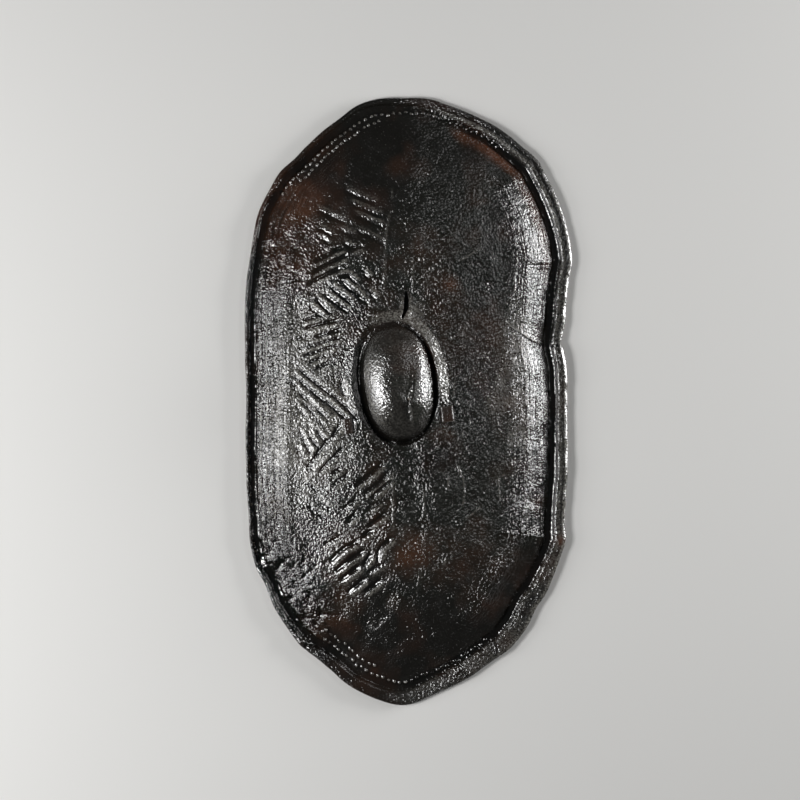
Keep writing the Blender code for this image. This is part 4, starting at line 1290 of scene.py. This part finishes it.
def times(tree, first, second, clamp=False):
    # Product of two values
    return maths(tree, "MULTIPLY", first, second, clamp)


def mixed(tree, share, first, second):
    # Blends from the first colour to the second by the share
    return addNode(tree, "Mix", {"Factor": share, 6: first, 7: second}, data_type="RGBA").outputs[2]


def spread(tree, value, low, high, newLow, newHigh):
    # Stretches low to high over newLow to newHigh
    names = ("Value", "From Min", "From Max", "To Min", "To Max")
    return addNode(tree, "MapRange", dict(zip(names, (value, low, high, newLow, newHigh)))).outputs["Result"]


def noiseNode(tree, place, scale, detail, roughness=0.55):
    # Blender's own noise, 0 to 1
    values = {"Vector": place, "Scale": scale, "Detail": detail, "Roughness": roughness}
    return addNode(tree, "TexNoise", values).outputs["Fac"]


def attribute(tree, name):
    # A mask of the mesh
    return addNode(tree, "Attribute", {}, attribute_name=name).outputs["Fac"]


def makeGrainGroup():
    # Pebbles from smooth Voronoi cells, fine pores and broad swells, as one height from 0 to 1
    inputs = {"Place": None, "Pebble Scale": 280.0, "Swell Scale": 200.0, "Swell Share": 0.45}
    tree, given, out = newGroup("hideGrain", inputs, ("Height", "Cells"))
    place, pebbleScale, swellShare = given["Place"], given["Pebble Scale"], given["Swell Share"]
    wobble = addNode(tree, "TexNoise", {"Vector": place, "Scale": given["Swell Scale"], "Detail": 2.0})
    push = {0: wobble.outputs["Color"], 1: (0.004, 0.004, 0.004), 2: place}
    moved = addNode(tree, "VectorMath", push, operation="MULTIPLY_ADD").outputs[0]
    shape = {"Vector": moved, "Scale": pebbleScale, "Smoothness": 0.35}
    cells = addNode(tree, "TexVoronoi", shape, feature="SMOOTH_F1")
    pebble = maths(tree, "SUBTRACT", 1.0, cells.outputs["Distance"])
    fine = noiseNode(tree, place, times(tree, pebbleScale, 2.2), 1.0, 0.5)
    swell = noiseNode(tree, place, given["Swell Scale"], 2.0, 0.5)
    grain = maths(tree, "ADD", times(tree, pebble, 0.85), times(tree, fine, 0.15))
    grain = times(tree, grain, maths(tree, "SUBTRACT", 1.0, swellShare))
    connect(tree, maths(tree, "ADD", times(tree, swell, swellShare), grain), out["Height"])
    connect(tree, pebble, out["Cells"])
    return tree


def makeColourGroup():
    # Dark and warm browns blended by a mask that noise breaks up; hollows painted darker (painted shade), ridges and
    # pebble tops painted lighter (painted glints)
    inputs = {
        "Place": None, "Dark": (0.0068, 0.0062, 0.0050, 1.0), "Warm": (0.066, 0.0260, 0.0130, 1.0),
        "Rubbed": (0.150, 0.143, 0.128, 1.0), "Warmth": 0.3, "Hollow": 0.0, "Cells": 0.0,
    }
    tree, given, out = newGroup("hideColour", inputs, ("Color", "Rub"))
    hollow = given["Hollow"]
    patches = noiseNode(tree, given["Place"], 26.0, 5.0, 0.6)
    broken = noiseNode(tree, given["Place"], 330.0, 2.0, 0.6)
    warmth = times(tree, given["Warmth"], spread(tree, patches, 0.35, 0.65, 0.35, 1.25), True)
    # Negative hollow values become painted glints, broken up by noise
    paintedGlint = times(tree, times(tree, hollow, -1.6, True), spread(tree, broken, 0.42, 0.60, 0.10, 1.0), True)
    # The pebbles' tops, in broken places, get painted glints
    paintedLight = spread(tree, given["Cells"], 0.78, 0.92, 0.0, 0.60)
    paintedLight = times(tree, paintedLight, spread(tree, broken, 0.54, 0.62, 0.0, 1.0), True)
    paintedGlint = maths(tree, "MAXIMUM", paintedGlint, paintedLight)
    colour = mixed(tree, paintedGlint, mixed(tree, warmth, given["Dark"], given["Warm"]), given["Rubbed"])
    # Hollows painted almost black: painted shade
    colour = mixed(tree, times(tree, hollow, 0.75, True), colour, (0.0022, 0.0020, 0.0017, 1.0))
    connect(tree, colour, out["Color"])
    connect(tree, paintedGlint, out["Rub"])
    return tree


def makeSheenGroup():
    # Roughness from broad handled patches and fine broken gloss; ridges with painted glints are smoother
    inputs = {"Place": None, "Low": 0.12, "High": 0.27, "Rub": 0.0, "Hollow": 0.0}
    tree, given, out = newGroup("hideSheen", inputs, ("Roughness",))
    patches = noiseNode(tree, given["Place"], 34.0, 4.0, 0.6)
    speckle = noiseNode(tree, given["Place"], 420.0, 2.0, 0.6)
    both = maths(tree, "ADD", times(tree, patches, 0.6), times(tree, speckle, 0.4))
    rough = spread(tree, both, 0.38, 0.62, given["Low"], given["High"])
    rough = maths(tree, "SUBTRACT", rough, times(tree, given["Rub"], 0.08))
    rough = maths(tree, "SUBTRACT", rough, times(tree, given["Hollow"], 0.10, True))
    connect(tree, rough, out["Roughness"])
    return tree


def makeRimLinesGroup():
    # Long wrinkles round the rim: noise stretched along the turn, which runs on a circle so that it closes
    tree, given, out = newGroup("rimLines", {"Across": 0.0, "Round": 0.0, "Share": 0.0}, ("Height",))
    angle = times(tree, given["Round"], 2 * math.pi)
    circle = [times(tree, maths(tree, operation, angle), 5.0) for operation in ("COSINE", "SINE")]
    place = addNode(tree, "CombineXYZ", {0: given["Across"], 1: circle[0], 2: circle[1]}).outputs[0]
    connect(tree, times(tree, noiseNode(tree, place, 1.0, 3.0, 0.6), given["Share"]), out["Height"])
    return tree


def makeLeather(name, look):
    # One leather: colour, sheen, grain and rim lines on a Principled shader
    material = bpy.data.materials.new(name)
    material.use_nodes = True
    tree = material.node_tree
    shader = tree.nodes["Principled BSDF"]
    place = addNode(tree, "TexCoord", {}).outputs["Object"]
    hollow = attribute(tree, "hollow")
    inside = attribute(tree, "inside")

    def placed(group, **values):
        # A copy of the group with these inputs
        node = tree.nodes.new("ShaderNodeGroup")
        node.node_tree = groups[group]
        for socket, value in values.items():
            connect(tree, value, node.inputs[socket])
        return node.outputs

    grain = placed("grain", Place=place)
    colour = placed("colour", Place=place, Warmth=attribute(tree, "warm"), Hollow=hollow, Cells=grain["Cells"])
    sheen = placed("sheen", Place=place, Rub=colour["Rub"], Hollow=hollow)
    connect(tree, mixed(tree, inside, colour["Color"], look["inner"]), shader.inputs["Base Color"])
    rough = maths(tree, "ADD", sheen["Roughness"], times(tree, inside, 0.35), True)
    connect(tree, rough, shader.inputs["Roughness"])
    shader.inputs["IOR"].default_value = look["ior"]
    sums = {0: attribute(tree, "rough"), 1: 0.7, 2: 1.0}
    coarse = addNode(tree, "Math", sums, operation="MULTIPLY_ADD").outputs[0]
    calm = maths(tree, "SUBTRACT", 1.0, times(tree, hollow, 0.75, True))
    calm = times(tree, calm, maths(tree, "SUBTRACT", 1.0, attribute(tree, "calm")))
    height = times(tree, times(tree, grain["Height"], coarse), calm)
    if look["lines"] > 0.0:
        share = times(tree, attribute(tree, "lined"), look["lines"])
        rim = {"Across": attribute(tree, "rimAcross"), "Round": attribute(tree, "rimRound"), "Share": share}
        height = maths(tree, "ADD", height, placed("lines", **rim)["Height"])
    bumps = {"Distance": look["grainDistance"], "Strength": 1.0, "Height": height}
    connect(tree, addNode(tree, "Bump", bumps).outputs["Normal"], shader.inputs["Normal"])
    return material


# A plain pale floor and world, soft boxes at both sides, and a long lens straight above
studio = {
    "floorColour": (0.62, 0.615, 0.60, 1.0),
    "floorHalf": 9.0,
    "floorDrop": 0.0004,
    "worldColour": (0.9, 0.95, 1.0, 1.0),
    "worldStrength": 0.03,
    "lampDistance": 3.2,
    # degrees round from +X towards +Y, degrees down from the zenith, width, height, watts
    "softboxes": {
        "left_softbox": (190.0, 47.0, 0.95, 1.0, 82.0),
        "left_low": (187.0, 70.0, 1.0, 1.2, 40.0),
        "right_softbox": (13.0, 79.0, 0.9, 1.6, 124.0),
        "right_fill": (24.0, 44.0, 0.6, 2.0, 10.0),
    },
    "lens": 100.0,
    "sensor": 36.0,
    "camera": (-0.0135, 0.0029, 3.662),
}


def makeFloor():
    # One large face just below the shield
    material = bpy.data.materials.new("pale_floor")
    material.use_nodes = True
    shader = material.node_tree.nodes["Principled BSDF"]
    shader.inputs["Base Color"].default_value = studio["floorColour"]
    shader.inputs["Roughness"].default_value = 0.95
    shader.inputs["Specular IOR Level"].default_value = 0.1
    mesh = bpy.data.meshes.new("floor")
    half = studio["floorHalf"]
    mesh.from_pydata([(-half, -half, 0), (half, -half, 0), (half, half, 0), (-half, half, 0)], [], [(0, 1, 2, 3)])
    mesh.materials.append(material)
    floor = link(bpy.data.objects.new("floor", mesh))
    floor.location.z = -studio["floorDrop"]
    return floor


def makeSoftbox(name, azimuth, fromZenith, width, height, watts):
    # An area light on a sphere round the shield, facing its middle
    light = bpy.data.lights.new(name, "AREA")
    light.shape = "RECTANGLE"
    light.size = width
    light.size_y = height
    light.energy = watts
    box = link(bpy.data.objects.new(name, light))
    turn = math.radians(azimuth)
    tilt = math.radians(fromZenith)
    out = math.sin(tilt) * studio["lampDistance"]
    box.location = (out * math.cos(turn), out * math.sin(turn), math.cos(tilt) * studio["lampDistance"])
    box.rotation_euler = (0.0, tilt, turn)


def makeStudio():
    # Lamps, world and camera
    for name, values in studio["softboxes"].items():
        makeSoftbox(name, *values)
    world = bpy.data.worlds.new("dim_studio")
    world.use_nodes = True
    background = world.node_tree.nodes["Background"]
    background.inputs["Color"].default_value = studio["worldColour"]
    background.inputs["Strength"].default_value = studio["worldStrength"]
    bpy.context.scene.world = world
    bpy.context.scene.view_settings.view_transform = "Standard"
    cameraData = bpy.data.cameras.new("camera")
    cameraData.lens = studio["lens"]
    cameraData.sensor_width = studio["sensor"]
    camera = link(bpy.data.objects.new("camera", cameraData))
    camera.location = studio["camera"]
    bpy.context.scene.camera = camera


outline = smoothClosedCurve(np.array(shield["outline"]) * (shield["halfWidth"], shield["halfLength"]), 8)
outline = outline - (outline.min(axis=0) + outline.max(axis=0)) / 2
crownLattice = makeCrown()
print("stage: formulas ready, outline of", len(outline), "points")

groups = {
    "grain": makeGrainGroup(), "colour": makeColourGroup(), "sheen": makeSheenGroup(),
    "lines": makeRimLinesGroup(),
}
hideLeather = makeLeather("hide_leather", hideLook)
strapLeather = makeLeather("strap_leather", strapLook)
print("stage: materials made")

addPiece(buildHide(), hideLeather, "hide")
strapMesh = buildStrap()
addPiece(strapMesh, strapLeather, "grip_strap")
print("stage: strap made,", len(strapMesh.polygons), "faces")

floor = makeFloor()
makeStudio()
print("stage: floor, lights and camera made")
